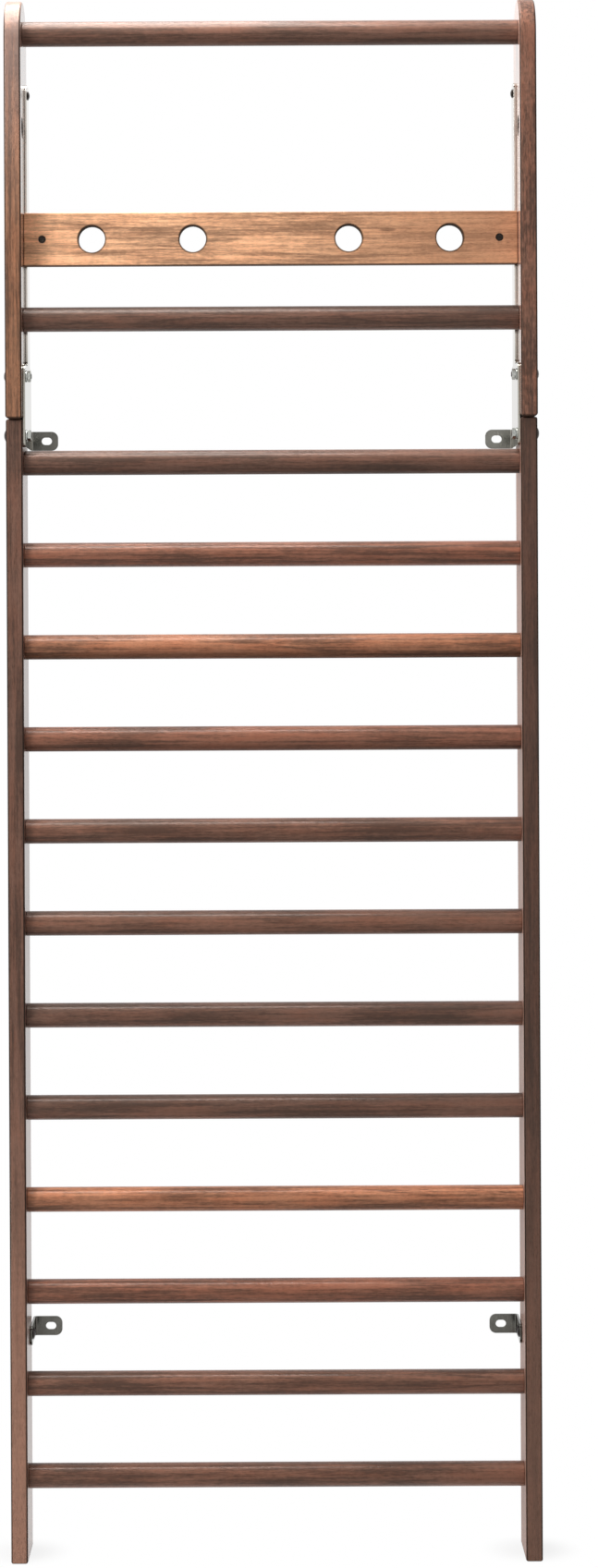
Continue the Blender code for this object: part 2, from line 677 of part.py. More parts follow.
def build_screws():
    """Wood screws that hold the brackets' legs to the inner faces of the uprights."""
    radius = SCREW_DIAMETER / 2
    point = [(radius, 0), (radius, SCREW_TIP_LENGTH - SCREW_LENGTH), (0, -SCREW_LENGTH)]
    profile = domed_head(SCREW_HEAD_DIAMETER, SCREW_HEAD_HEIGHT) + point
    mesh = turned_mesh("bracket_screw", profile, SMALL_SIDES, BLACK_STEEL)
    seat = LEG_FACE - CLEARANCE
    for side, sign in SIDES:
        place(f"tail_screw_{side}", mesh, upper_section, (sign * seat, *TAIL_SCREW), pointing(-sign))
        for end, y, z in LOWER_SCREWS:
            name = f"lower_bracket_screw_{side}_{end}"
            place(name, mesh, lower_section, (sign * seat, y, z), pointing(-sign))


clear_scene()
parts = new_collection("wall_bars")
cutters = new_collection("cutters")
lower_section = new_section("lower_section")
upper_section = new_section("upper_section")

WALNUT = material("walnut", (0.150, 0.078, 0.050), 0.45)
BAR_WALNUT = material("bar_walnut", (0.140, 0.070, 0.048), 0.40)
PALE_WOOD = material("pale_wood", (0.480, 0.270, 0.150), 0.45)
DOWEL_WOOD = material("dowel_wood", (0.600, 0.420, 0.260), 0.60)
BRACKET_STEEL = material("bracket_steel", (0.230, 0.230, 0.220), 0.35, 1.0)
BRIGHT_ZINC = material("bright_zinc", (0.700, 0.700, 0.680), 0.30, 1.0)
BLACK_STEEL = material("black_steel", (0.025, 0.022, 0.020), 0.40, 1.0)

build_lower_uprights()
build_upper_uprights()
build_bars()
build_cross_board()
build_dowels()
build_upper_brackets()
build_lower_brackets()
build_splice_bolts()
build_board_fasteners()
build_screws()
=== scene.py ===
"""The looks of the wall bars. A finer mesh in a procedural finish stands for every CAD piece that
shows, on a pale floor in soft light, before a camera that looks at it square on.

Metres, +Z up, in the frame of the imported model: the front faces -Y and the wall lies at +Y."""

import math

import bmesh
import bpy
from mathutils import Matrix, Vector


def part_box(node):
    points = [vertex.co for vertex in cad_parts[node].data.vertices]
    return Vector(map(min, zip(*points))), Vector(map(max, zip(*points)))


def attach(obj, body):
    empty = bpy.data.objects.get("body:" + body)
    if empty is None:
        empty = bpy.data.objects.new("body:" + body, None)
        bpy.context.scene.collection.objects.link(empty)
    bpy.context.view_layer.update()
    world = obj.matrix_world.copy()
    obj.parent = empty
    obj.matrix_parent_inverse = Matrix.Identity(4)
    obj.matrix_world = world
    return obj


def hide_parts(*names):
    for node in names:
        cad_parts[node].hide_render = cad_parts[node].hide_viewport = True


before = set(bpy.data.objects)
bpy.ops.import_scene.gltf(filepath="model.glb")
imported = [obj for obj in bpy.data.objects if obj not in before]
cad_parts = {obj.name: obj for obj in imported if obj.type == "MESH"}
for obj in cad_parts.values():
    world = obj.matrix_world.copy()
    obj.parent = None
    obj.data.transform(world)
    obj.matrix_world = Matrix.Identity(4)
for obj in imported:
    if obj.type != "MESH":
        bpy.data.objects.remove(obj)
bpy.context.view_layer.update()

SIDES = (("left", -1), ("right", 1))
SPLICE_ENDS = ("lower", "upper")
DEPTHS = ("front", "rear")
GAP = 0.0003  # between pieces that touch on the real object
INSET = 1e-6  # keeps the outermost faces just inside the CAD model's box

# Wood
EDGE_RADIUS = 0.003
FOOT_RADIUS = 0.002
SPLICE_END_RADIUS = 0.004
SPLICE_END_EASE = 0.0065  # rounds the same ends once more, seen from the front
UPRIGHT_REACH = 0.1  # more than half the uprights' depth
BAR_EASE = 0.0005
TENON_DIAMETER = 0.024
TENON_EASE = 0.001
BOARD_EDGE_RADIUS = 0.0012
BOARD_CORNER_RADIUS = 0.0015
BOARD_HOLE_DIAMETER = 0.036
BOARD_HOLE_OFFSETS = (0.105, 0.241)
SIDE_HOLE_DIAMETER = 0.025
SIDE_HOLE_SETBACK = 0.030  # behind the front of the upper uprights
SIDE_HOLE_DROP = 0.127  # below the pull-up bar
SIDE_HOLE_EASE = 0.0008
SIDE_HOLE_OVERHANG = 0.004  # how far its cutter stands out of each face

# Steel sheet
SHEET = 0.003
SHEET_EASE = 0.0003
FOLD_RADIUS = 0.002
TAB_HEIGHT = 0.026
TAB_CORNER_RADIUS = 0.009
TAB_LENGTH = 0.0365  # from the side leg's inner face to the tab's free end
SLOT_LENGTH = 0.014
SLOT_WIDTH = 0.010
SLOT_FROM_LEG = 0.021  # from the side leg's inner face to the slot's centre
PLATE_CORNER_RADIUS = 0.010
PLATE_WALL_MARGIN = 0.006
PLATE_ABOVE_SPLIT = 0.074
TAIL_FRONT_GAP = 0.0005  # behind the cross board
TAIL_BACK_MARGIN = 0.005  # in front of the back of the upper uprights
TAIL_CORNER_RADIUS = 0.012
LEG_CORNER_RADIUS = 0.009

# Fasteners
SPLICE_BOLT_DIAMETER = 0.008
SPLICE_BOLT_RIM = 0.0004  # the straight part under the dome of its head
SPLICE_SOCKET = (0.005, 0.0021)  # across the flats of the drive in the head, and its depth
SPLICE_THREAD = (0.00125, 0.012, 0.0009)  # pitch, length up from the tip, and taper at the tip
BOARD_BOLT_DIAMETER = 0.006
BOARD_BOLT_HEAD = 0.0025  # the height of its head
BOARD_BOLT_SOCKET = (0.004, 0.0018)
BOARD_THREAD = (0.001, 0.020, 0.0008)
THREAD_DEPTH = 0.55  # as a share of the pitch, like the crest's start and end
THREAD_CREST = (0.45, 0.60)
THREAD_START = 0.0005  # from the end of the plain shank to the first turn
THREAD_STOP = 0.0008  # the least that is left between a bolt's last turn and its tip
BARREL_SLOT = (0.0014, 0.0012)  # width and depth
BARREL_SLOT_OVERHANG = 1.2  # the slot's cutter to the nut's width
WASHER_EASE = 0.0002
NUT_CHAMFER = math.radians(30)
NUT_CROWN = (0.97, 1.01, 1.3)  # face to flats, rim to corners, and fall to a plain chamfer's
SCREW_DIAMETER = 0.0045
SCREW_HEAD = 0.0026  # the height of its head
SCREW_RIM = 0.0005
SCREW_SHANK = 0.002  # the plain part under the head
SCREW_PITCH = 0.0018
SCREW_TIP_LENGTH = 0.004
SCREW_TIP_START = 0.8  # the tip's radius where it begins, as a share of the shank's
SCREW_RECESS = (0.0010, 0.0056, 0.0014)  # blade width, span and depth
SCREW_BORE = 0.034  # its cutter's length, half of it on each side of the inner face
BLADE_CORNER = 0.0001  # rounds the corners of the cutters of slots and recesses
FASTENER_EASE = 0.0005

# Facets
CHORD_ERROR = 0.00003
LEAST_STEPS = 3  # in any round of an outline
BAR_FACETS = 72
FINGER_HOLE_FACETS = 96
TURNED_FACETS = 64
BORE_FACETS = 48
SMALL_FACETS = 32
EDGE_STEPS = 5
THIN_EDGE_STEPS = 2
QUARTER_STEPS = 4
DOME_STEPS = 9
FOLD_STEPS = 10
FLAT_ANGLE = math.radians(0.5)  # faces that turn less than this from each other become one
SHARP_ANGLE = math.radians(32)
WELD = 1e-6

# Ways of laying a mesh that is made in its own XY plane, or round its own Z
SIDEWAYS = Matrix(((0, 0, 1), (1, 0, 0), (0, 1, 0))).to_4x4()  # X and Y lie along Y and Z
FACING_FRONT = Matrix(((1, 0, 0), (0, 0, -1), (0, 1, 0))).to_4x4()  # X and Y lie along X and Z

# The camera, in the photograph's pixels and in metres
PHOTO_HEIGHT = 1697
SENSOR = 36
FOCAL_PIXELS = 3485.5
AXIS_RIGHT_OF_CENTRE = -29.5
AXIS_ABOVE_CENTRE = 198.5
CAMERA_PLACE = (-0.001, -4.355, 1.285)
CAMERA_ROLL = math.radians(0.28)

# The studio
AMBIENT = 0.10
FLOOR_REACH = 9
FLOOR_COLOUR = (0.62, 0.62, 0.61, 1)
SHADOW_FADE = (0.012, 0.075)  # distances from a foot over which its shadow and painted shade fade to white
SHADOW_VEIL = 0.86  # share of white beside a foot; the lit rest shows a shadow and a painted shade
LAMPS = {  # each lamp's place, what it points at, its width and height, and its power in watts
    "overhead": ((-0.55, -0.15, 3.0), (-0.05, -0.05, 1.4), (1.4, 1.4), 74),
    "high": ((-1.7, -1.9, 2.5), (0, 0, 1.4), (1.0, 0.8), 34),
    "low": ((-1.0, -1.3, 0.12), (0, 0, 0.3), (0.9, 0.4), 5),
}


def srgb(red, green, blue):
    """A colour as it shows on a screen, 0 to 255, as the linear one that a shader takes."""
    shares = (channel / 255 for channel in (red, green, blue))
    return tuple(s / 12.92 if s <= 0.04045 else ((s + 0.055) / 1.055) ** 2.4 for s in shares)


# Shader maths


class Value:
    """A socket in a finish. Arithmetic on it adds Math nodes."""

    def __init__(self, finish, socket):
        self.finish = finish
        self.socket = socket

    def join(self, operation, *terms):
        return self.finish.add("ShaderNodeMath", {"operation": operation}, dict(enumerate(terms)))

    def __add__(self, other):
        return self.join("ADD", self, other)

    __radd__ = __add__

    def __sub__(self, other):
        return self.join("SUBTRACT", self, other)

    def __rsub__(self, other):
        return self.join("SUBTRACT", other, self)

    def __mul__(self, other):
        return self.join("MULTIPLY", self, other)

    def __truediv__(self, other):
        return self.join("DIVIDE", self, other)

    def __pow__(self, other):
        return self.join("POWER", self, other)

    def fraction(self):
        return self.join("FRACT", self)

    def whole(self):
        return self.join("FLOOR", self)

    def between(self, low, high):
        """0 below low and 1 above high, with a soft step between them."""
        settings = {"interpolation_type": "SMOOTHSTEP"}
        sockets = {"Value": self, "From Min": low, "From Max": high}
        return self.finish.add("ShaderNodeMapRange", settings, sockets)


class Finish:
    """A node tree with one method that adds nodes to it."""

    def __init__(self, tree):
        self.tree = tree

    def add(self, kind, settings=None, sockets=None, output=0):
        node = self.tree.nodes.new(kind)
        for setting, value in (settings or {}).items():
            if setting == "stops":
                self.set_stops(node.color_ramp, value)
            else:
                setattr(node, setting, value)
        for socket, value in (sockets or {}).items():
            self.feed(node.inputs[socket], value)
        return Value(self, node.outputs[output])

    def feed(self, socket, value):
        if isinstance(value, Value):
            self.tree.links.new(value.socket, socket)
        else:
            socket.default_value = value

    def set_stops(self, ramp, stops):
        while len(ramp.elements) < len(stops):
            ramp.elements.new(0.5)
        for element, (position, level) in zip(ramp.elements, stops):
            element.position = position
            element.color = (level, level, level, 1)

    def parts(self, vector):
        return [self.add("ShaderNodeSeparateXYZ", sockets={"Vector": vector}, output=axis) for axis in "XYZ"]

    def place(self):
        """The three coordinates of a point on the piece, in metres."""
        return self.parts(self.add("ShaderNodeTexCoord", output="Object"))

    def noise(self, x, y, z, detail=2.0, roughness=0.5):
        point = self.add("ShaderNodeCombineXYZ", sockets={"X": x, "Y": y, "Z": z})
        sockets = {"Vector": point, "Scale": 1.0, "Detail": detail, "Roughness": roughness}
        return self.add("ShaderNodeTexNoise", sockets=sockets)

    def speckle(self, place, size, detail=2.0, roughness=0.5):
        """Noise of the same size every way."""
        return self.noise(*(part / size for part in place), detail, roughness)

    def slant(self):
        """1 for a face seen nearly edge on, 0 for one seen squarely. It steers gloss and bump alone."""
        facing = self.add("ShaderNodeLayerWeight", sockets={"Blend": 0.5}, output="Facing")
        return facing.between(*SLANT)

    def mix(self, factor, first, second, blend="MIX"):
        settings = {"data_type": "RGBA", "blend_type": blend}
        return self.add("ShaderNodeMix", settings, {0: factor, 6: first, 7: second}, output=2)

    def grey(self, level):
        """A number as a colour."""
        return self.add("ShaderNodeCombineColor", sockets={"Red": level, "Green": level, "Blue": level})

    def bump(self, height, depth, strength):
        """A normal from a height of 0 to 1 that stands for this depth in metres."""
        sockets = {"Height": height, "Distance": depth, "Strength": strength}
        return self.add("ShaderNodeBump", sockets=sockets, output="Normal")


class Surface(Finish):
    """A material with one Principled shader. Its constants are set on the shader's own sockets."""

    def __init__(self, name, **constants):
        self.material = bpy.data.materials.new(name)
        self.material.use_nodes = True
        super().__init__(self.material.node_tree)
        self.shader = self.tree.nodes["Principled BSDF"]
        for socket, value in constants.items():
            self.shader.inputs[socket.replace("_", " ")].default_value = value

    def paint(self, **values):
        for socket, value in values.items():
            self.feed(self.shader.inputs[socket.replace("_", " ")], value)
        return self.material


# Wood finishes

SLANT = (0.78, 0.93)  # how far a face turns from the view, 1 being edge on, before it counts as slanted
CHEEK = (0.30, 0.33)  # where a face's inward turn times its distance from the middle gets the painted sheen of the inner faces
# The paler colour of the painted sheen on the faces towards the middle
CHEEK_SHEEN_COLOUR = (205, 160, 142)
HOLE_SHADE = (0.0006, 0.0028)  # past a hole's mouth, where the painted shade inside it begins to fade and ends
RING_BEND = 0.034  # how far the growth rings bend along the timber, in metres
RING_WAVE = 0.0022  # how far they waver, in metres
RING_FIGURE = 0.45  # how plainly they show
RING_STOPS = ((0.0, 0.15), (0.45, 0.25), (0.82, 0.9), (0.92, 1.0), (1.0, 0.15))  # place and darkness
BLUSH_TINT = (1.0, 0.80, 0.70, 1)
GLOSS_TINT = (1.0, 0.70, 0.55, 1)
STOCKS = {  # the middling colour of each kind of timber used, and at the end three painted tones of sheen and shade
    "plain": (106, 73, 59),
    "dark": (91, 64, 53),
    "red": (119, 77, 60),
    "honey": (147, 98, 72),
    "brown": (116, 80, 58),
    "deep": (72, 49, 40),
    "pale": (208, 158, 121),
    "beech": (206, 166, 126),
    # Painted tones: a sheen at the heads and feet of the uprights, and a shade at the board's right end
    "painted_head_sheen": (166, 146, 140),
    "painted_foot_sheen": (186, 138, 116),
    "painted_board_shade": (152, 107, 78),
}


def shaded(colour, level=1):
    """A colour this many times as light, for a shader."""
    return (*(channel * level for channel in srgb(*colour)), 1)


def wood(name, stock, axes, seed, pith, ring_pitch=0.0042, mottle=0.30, contrast=1.0, blush=0.5,
         painted_edge_shade=0.0, painted_top_light=0.0, painted_underside_shade=0.0, painted_fade=None, holes=(), knot=None, painted_cheek_sheen=0.0,
         slanted=(0.40, 0.15)):
    """Timber cut from a log. axes names the directions along the grain, across it and through the
    piece. pith is where the log's middle lies, across and through, in metres. topside sets a painted
    light on what faces up, a painted shade where it is below zero, and underside a painted shade on
    what faces down, a painted light where it is below zero. painted_edge_shade sets a painted shade on the
    rounded front edges. turning says between which two places along the grain the colour turns to one
    of the painted tones in STOCKS, a sheen or a shade, and by what share. holes gives each hole's
    centre on two axes and its radius, and shade is painted inside it. knot gives a patch's place
    along and across the grain, half its size both ways, and how dark it is. cheek sets a painted sheen
    that makes the face towards the middle of the object paler. slanted gives the roughness and coat
    of a face seen at a slant."""
    surface = Surface(name, IOR=1.50, Coat_Roughness=0.12, Coat_IOR=1.45, Specular_Tint=GLOSS_TINT)
    coordinates = dict(zip("xyz", surface.place()))
    along, across, through = (coordinates[axis] for axis in axes)
    timber = STOCKS[stock]

    def grain(width, length, detail=2.0, roughness=0.5):
        """Streaks of about this width and length, in metres."""
        return surface.noise(across / width, through / width, along / length + seed, detail, roughness)

    # Growth rings about the pith, bent by the way the tree grew
    bend = grain(0.14, 0.70) - 0.5
    ripple = grain(0.018, 0.12, 3.0) - 0.5
    pith_across, pith_through = pith
    radius = ((across - pith_across) ** 2 + (through - pith_through) ** 2) ** 0.5
    ring = (radius + bend * RING_BEND + ripple * RING_WAVE) / ring_pitch
    late = surface.add("ShaderNodeValToRGB", {"stops": RING_STOPS}, {"Fac": ring.fraction()})
    vigour = surface.add("ShaderNodeTexWhiteNoise", {"noise_dimensions": "1D"}, {"W": ring.whole() + seed})
    band = surface.add("ShaderNodeSeparateColor", sockets={"Color": late}) * vigour

    # Finer figure: fibres, streaks, patches, flecks across the grain, and open pores
    fibre = grain(0.0009, 0.030, 4.0, 0.65)
    streak = grain(0.0045, 0.18, 3.0, 0.6)
    patch = grain(0.030, 0.16, 3.0, 0.55)
    fleck = surface.noise(across / 0.0022, through / 0.0022, along / 0.010 + seed, 3.0, 0.6)
    curl = surface.noise(across / 0.020, through / 0.020, along / 0.007 + seed, 2.0)
    pore = grain(0.0004, 0.006, 1.0).between(0.58, 0.70)

    shade = (fibre - 0.5) * 1.4 + (streak - 0.5) * 2.6 + (patch - 0.5) * 2.4 + (fleck - 0.5) * mottle * 4
    shade = (shade + band * RING_FIGURE - RING_FIGURE * 0.25) * contrast + 0.5
    if knot:
        knot_along, knot_across, half_length, half_height, strength = knot
        spread = ((along - knot_along) / half_length) ** 2 + ((across - knot_across) / half_height) ** 2
        shade = shade + (1 - (spread + ripple * 2).between(0.1, 1.0)) * strength
    colour = surface.mix(shade.between(-0.15, 1.15), shaded(timber, 1.6), shaded(timber, 0.38))
    redness = grain(0.012, 0.07, 3.0, 0.6).between(0.40, 0.62)
    colour = surface.mix(redness * blush, colour, BLUSH_TINT, "MULTIPLY")
    # Painted light or shade that fades in along the grain towards one of the painted tones
    if painted_fade:
        start, finish, share, other = painted_fade
        colour = surface.mix(along.between(start, finish) * share, colour, shaded(STOCKS[other]))

    # Ends of the fibres take up more finish and look darker. Rounded front edges and what faces down
    # get painted shade, and what faces up painted light; a share below zero turns these round
    normal = surface.add("ShaderNodeNewGeometry", output="Normal")
    facing = dict(zip("xyz", surface.parts(normal)))
    end, side, front = (facing[axis] * facing[axis] for axis in axes)
    end_grain = end.between(0.15, 0.85)
    below = (0 - facing["z"]).between(0.15, 0.7)
    above = facing["z"].between(0.15, 0.7)
    # Painted shade on the rounded front edges
    rounded_edge = (side * front * 4).between(0.1, 0.9) * (0 - facing["y"]).between(0.0, 0.3)
    level = 1.08 + (curl - 0.5) * mottle - pore * 0.38 - end_grain * 0.22
    level = level * (1 - rounded_edge * painted_edge_shade) * (1 - below * painted_underside_shade) * (above * painted_top_light + 1)

    # Painted shade in the holes, on the rounded edges and on what faces down has no gloss
    glossy = (1 - below * max(painted_underside_shade, 0)) * (1 - rounded_edge * painted_edge_shade)
    # Painted shade inside each hole, fading out past its mouth
    for place, radius in holes:
        gaps = [coordinates[axis] - offset for axis, offset in place.items()]
        reach = (gaps[0] * gaps[0] + gaps[1] * gaps[1]) ** 0.5
        clear = reach.between(*(radius + step for step in HOLE_SHADE))
        level = level * (clear * 0.85 + 0.15)
        glossy = glossy * clear
    colour = surface.mix(1.0, colour, surface.grey(level), "MULTIPLY")
    # A painted sheen makes the faces towards the middle paler
    if painted_cheek_sheen:
        inward = (0 - facing["x"] * coordinates["x"]).between(*CHEEK)
        colour = surface.mix(inward * glossy * painted_cheek_sheen, colour, shaded(CHEEK_SHEEN_COLOUR))
    relief = (fibre - 0.5) * 0.5 + (fleck - 0.5) * 1.0 + (curl - 0.5) * 1.0 - pore * 0.45

    # Seen at a slant the finish is smoother or rougher than from the front
    slant = surface.slant() * glossy
    slant_roughness, slant_coat = slanted
    rough = 0.42 + (fleck - 0.5) * 0.25 + (fibre - 0.5) * 0.16 + pore * 0.20
    rough = rough * (1 - slant) + slant * slant_roughness
    coat = (0.22 - pore * 0.2) * (1 - slant) + slant * slant_coat
    return surface.paint(
        Base_Color=colour,
        Roughness=rough + (1 - glossy) * 0.5,
        Coat_Weight=coat * glossy,
        Normal=surface.bump(relief, 0.00025, 0.8 - slant * 0.8),
    )


# Metal finishes

STEEL = (96, 95, 90)
# Painted reflections on the legs of the upper brackets and, brighter, on their tails
PLATE_REFLECTION = (178, 174, 164)
TAIL_REFLECTION = (222, 215, 206)
ZINC = ((118, 120, 116), (214, 216, 210))  # its darkest and lightest colours
BLACK = ((40, 34, 31), (84, 76, 70))
RIGHT_HALF = (-0.01, 0.01)  # places along X. The brackets stand well clear of them on both sides
UPPER_BRACKETS = (1.40, 1.45)  # heights between the lower and the upper brackets
TAILS = (1.60, 1.66)  # heights over which a splice plate's painted reflection turns to its tail's brighter one
LEG_SKIN = (0.006, 0.003)  # distances inwards from the uprights' inner faces, over which the legs' painted reflection fades in


def sheet_steel(name):
    """Dull grey steel, rolled along its length, with faint scuffs. The legs of the upper brackets get a
    painted reflection, palest on their tails, and painted light makes the upper right bracket lighter
    than the left one."""
    surface = Surface(name, Metallic=1.0)
    place = surface.place()
    x, y, z = place
    rolled = surface.noise(x / 0.0008, y / 0.012, z / 0.0008, 3.0, 0.6)
    cloud = surface.speckle(place, 0.012, 4.0, 0.6)
    scuff = surface.noise(x / 0.0015, y / 0.0015, z / 0.020 + 7, 2.0).between(0.62, 0.72)
    tone = (cloud - 0.5) * 0.9 + (rolled - 0.5) * 0.7 + 0.5
    colour = surface.mix(tone.between(0.1, 0.9), shaded(STEEL, 0.75), shaded(STEEL, 1.3))
    colour = surface.mix(scuff * 0.35, colour, shaded(STEEL, 2.4))
    upper = z.between(*UPPER_BRACKETS)
    # Painted light makes the upper right bracket lighter than the left one
    lit_upper_right = x.between(*RIGHT_HALF) * upper
    colour = surface.mix(1.0, colour, surface.grey(lit_upper_right * 0.7 + 1), "MULTIPLY")
    # A painted reflection pales the legs of the upper brackets, most of all their tails
    leg = ((x * x) ** 0.5).between(*(INNER_FACE - inset for inset in LEG_SKIN)) * upper
    bright = surface.mix(z.between(*TAILS), shaded(PLATE_REFLECTION), shaded(TAIL_REFLECTION))
    colour = surface.mix(leg * 0.8, colour, bright)
    slant = surface.slant()
    rough = (cloud - 0.5) * 0.16 + (rolled - 0.5) * 0.10 + scuff * 0.08 + 0.19
    return surface.paint(
        Base_Color=colour,
        Roughness=rough * (1 - slant * 0.8),
        Normal=surface.bump(rolled, 0.00003, 0.4 - slant * 0.4),
    )


def zinc_plate(name):
    """Bright zinc plating with the slight mottle of a barrel-plated fastener."""
    surface = Surface(name, Metallic=1.0)
    place = surface.place()
    mottle = surface.speckle(place, 0.0025, 4.0, 0.65)
    grit = surface.speckle(place, 0.0004)
    tone = (mottle - 0.5) * 1.2 + (grit - 0.5) * 0.3 + 0.5
    colour = surface.mix(tone.between(0.0, 1.0), *(shaded(colour) for colour in ZINC))
    return surface.paint(
        Base_Color=colour,
        Roughness=(mottle - 0.5) * 0.22 + 0.24,
        Normal=surface.bump(grit, 0.00002, 0.4),
    )


def black_oxide(name):
    """Blackened steel, rubbed to grey in places."""
    surface = Surface(name, Metallic=0.85)
    place = surface.place()
    mottle = surface.speckle(place, 0.003, 4.0, 0.6)
    grit = surface.speckle(place, 0.0005)
    rubbed = (mottle + (grit - 0.5) * 0.3).between(0.55, 0.75)
    colour = surface.mix(rubbed, *(shaded(colour) for colour in BLACK))
    return surface.paint(
        Base_Color=colour,
        Roughness=(mottle - 0.5) * 0.20 + 0.40,
        Normal=surface.bump(grit, 0.00003, 0.4),
    )


# Outlines


def rounded(corners):
    """The points of a closed outline whose corners are (u, v, radius)."""
    points = []
    for index, (u, v, radius) in enumerate(corners):
        corner = Vector((u, v))
        back = (Vector(corners[index - 1][:2]) - corner).normalized()
        ahead = (Vector(corners[(index + 1) % len(corners)][:2]) - corner).normalized()
        half = back.angle(ahead) / 2
        middle = corner + (back + ahead).normalized() * (radius / math.sin(half))
        start = corner + back * (radius / math.tan(half)) - middle
        end = corner + ahead * (radius / math.tan(half)) - middle
        turn = start.angle_signed(end)
        chord = 2 * math.acos(1 - CHORD_ERROR / radius)
        steps = max(LEAST_STEPS, math.ceil(abs(turn) / chord))
        arc = [middle + Matrix.Rotation(-turn * step / steps, 2) @ start for step in range(steps + 1)]
        points += [point for point in arc if not points or (point - points[-1]).length > WELD]
    if (points[0] - points[-1]).length <= WELD:
        points.pop()
    return points


def box_outline(left, bottom, right, top, *radii):
    """A rectangle with a radius for each corner: bottom left, bottom right, top right, top left."""
    places = ((left, bottom), (right, bottom), (right, top), (left, top))
    return rounded([(*place, radius) for place, radius in zip(places, radii)])


def circle(radius, facets, centre=(0, 0)):
    spokes = (Matrix.Rotation(math.tau * step / facets, 2) for step in range(facets))
    return [Vector(centre) + spoke @ Vector((radius, 0)) for spoke in spokes]


def hole(centre, radius, facets=BORE_FACETS):
    """A round hole in an outline. It runs against the outline round it."""
    return circle(radius, facets, centre)[::-1]


def slot(centre):
    u, v = centre
    half_length = SLOT_LENGTH / 2
    radius = SLOT_WIDTH / 2
    ends = (u - half_length, v - radius, u + half_length, v + radius)
    return box_outline(*ends, radius, radius, radius, radius)[::-1]


# Meshes


def made_mesh(guide):
    """What a guide object's curve or modifiers make. The guide itself is removed."""
    bpy.context.scene.collection.objects.link(guide)
    graph = bpy.context.evaluated_depsgraph_get()
    mesh = bpy.data.meshes.new_from_object(guide.evaluated_get(graph))
    bpy.data.objects.remove(guide, do_unlink=True)
    mesh.materials.clear()
    return mesh


def welded(mesh):
    shape = bmesh.new()
    shape.from_mesh(mesh)
    bmesh.ops.remove_doubles(shape, verts=shape.verts, dist=WELD)
    bmesh.ops.recalc_face_normals(shape, faces=shape.faces)
    shape.to_mesh(mesh)
    shape.free()
    return mesh


def plate(outlines, thickness, edge=0.0, steps=EDGE_STEPS):
    """A plate of these outlines, centred on its own XY plane, with its edges rounded."""
    curve = bpy.data.curves.new("plate", "CURVE")
    curve.dimensions = "2D"
    curve.fill_mode = "BOTH"
    curve.extrude = thickness / 2 - edge
    curve.bevel_depth = edge
    curve.bevel_resolution = steps - 1
    curve.offset = -edge
    for points in outlines:
        spline = curve.splines.new("POLY")
        spline.points.add(len(points) - 1)
        spline.use_cyclic_u = True
        for spline_point, (u, v) in zip(spline.points, points):
            spline_point.co = (u, v, 0, 1)
    return welded(made_mesh(bpy.data.objects.new("plate", curve)))


def turned(profile, facets):
    """A turned piece round its own Z, from (radius, height) pairs that run down its outside."""
    shape = bmesh.new()
    points = [shape.verts.new((radius, 0, height)) for radius, height in profile]
    lines = [shape.edges.new(pair) for pair in zip(points, points[1:])]
    axis = {"cent": (0, 0, 0), "axis": (0, 0, 1), "dvec": (0, 0, 0)}
    bmesh.ops.spin(shape, geom=points + lines, angle=math.tau, steps=facets, use_merge=True, **axis)
    bmesh.ops.remove_doubles(shape, verts=shape.verts, dist=WELD)
    bmesh.ops.recalc_face_normals(shape, faces=shape.faces)
    mesh = bpy.data.meshes.new("turned")
    shape.to_mesh(mesh)
    shape.free()
    return mesh


def laid(mesh, place, way=None, turn=0.0):
    """A copy of a mesh, turned about its own Z, laid one of the ways above and moved to its place."""
    copy = mesh.copy()
    matrix = Matrix.Translation(place) @ (way or Matrix.Identity(4)) @ Matrix.Rotation(turn, 4, "Z")
    copy.transform(matrix)
    if matrix.determinant() < 0:
        copy.flip_normals()
    return copy


def joined(meshes):
    shape = bmesh.new()
    for mesh in meshes:
        shape.from_mesh(mesh)
    together = bpy.data.meshes.new("joined")
    shape.to_mesh(together)
    shape.free()
    return together


def carved(mesh, *cutters, operation="DIFFERENCE"):
    """The mesh with each cutter taken out of it in turn, or kept only where it meets them."""
    guide = bpy.data.objects.new("carved", mesh)
    tools = [bpy.data.objects.new("cutter", cutter) for cutter in cutters]
    for tool in tools:
        bpy.context.scene.collection.objects.link(tool)
        boolean = guide.modifiers.new("carve", "BOOLEAN")
        boolean.operation = operation
        boolean.solver = "EXACT"
        boolean.object = tool
    result = made_mesh(guide)
    for tool in tools:
        bpy.data.objects.remove(tool, do_unlink=True)
    return result


def along_x(sign):
    """Lays a turned piece along X with its own +Z pointing to the side that sign gives."""
    return Matrix(((0, 0, sign), (sign, 0, 0), (0, 1, 0))).to_4x4()


def bore(radius, length, facets=BORE_FACETS):
    half = length / 2
    return turned([(0, half), (radius, half), (radius, -half), (0, -half)], facets)


def mirrored(half):
    """A whole profile from the half of it that lies above height 0."""
    return half + [(radius, -height) for radius, height in reversed(half)]


def quarter_round(radius, height, ease, flare):
    """The part of a profile that eases the edge at this height. flare is 1 where it opens towards
    the end, like a bore's mouth, and -1 where it closes in, like a bar's end."""
    angles = [math.pi / 2 * step / QUARTER_STEPS for step in range(QUARTER_STEPS + 1)]
    return [
        (radius + flare * ease * (1 - math.sin(angle)), height - ease * (1 - math.cos(angle)))
        for angle in angles
    ]


def eased_bore(radius, span, ease):
    """A bore's cutter that widens in a small round where it leaves a board this thick."""
    outside = span / 2 + SIDE_HOLE_OVERHANG
    half = [(0, outside), (radius + ease, outside), *quarter_round(radius, span / 2, ease, 1)]
    return turned(mirrored(half), BORE_FACETS)


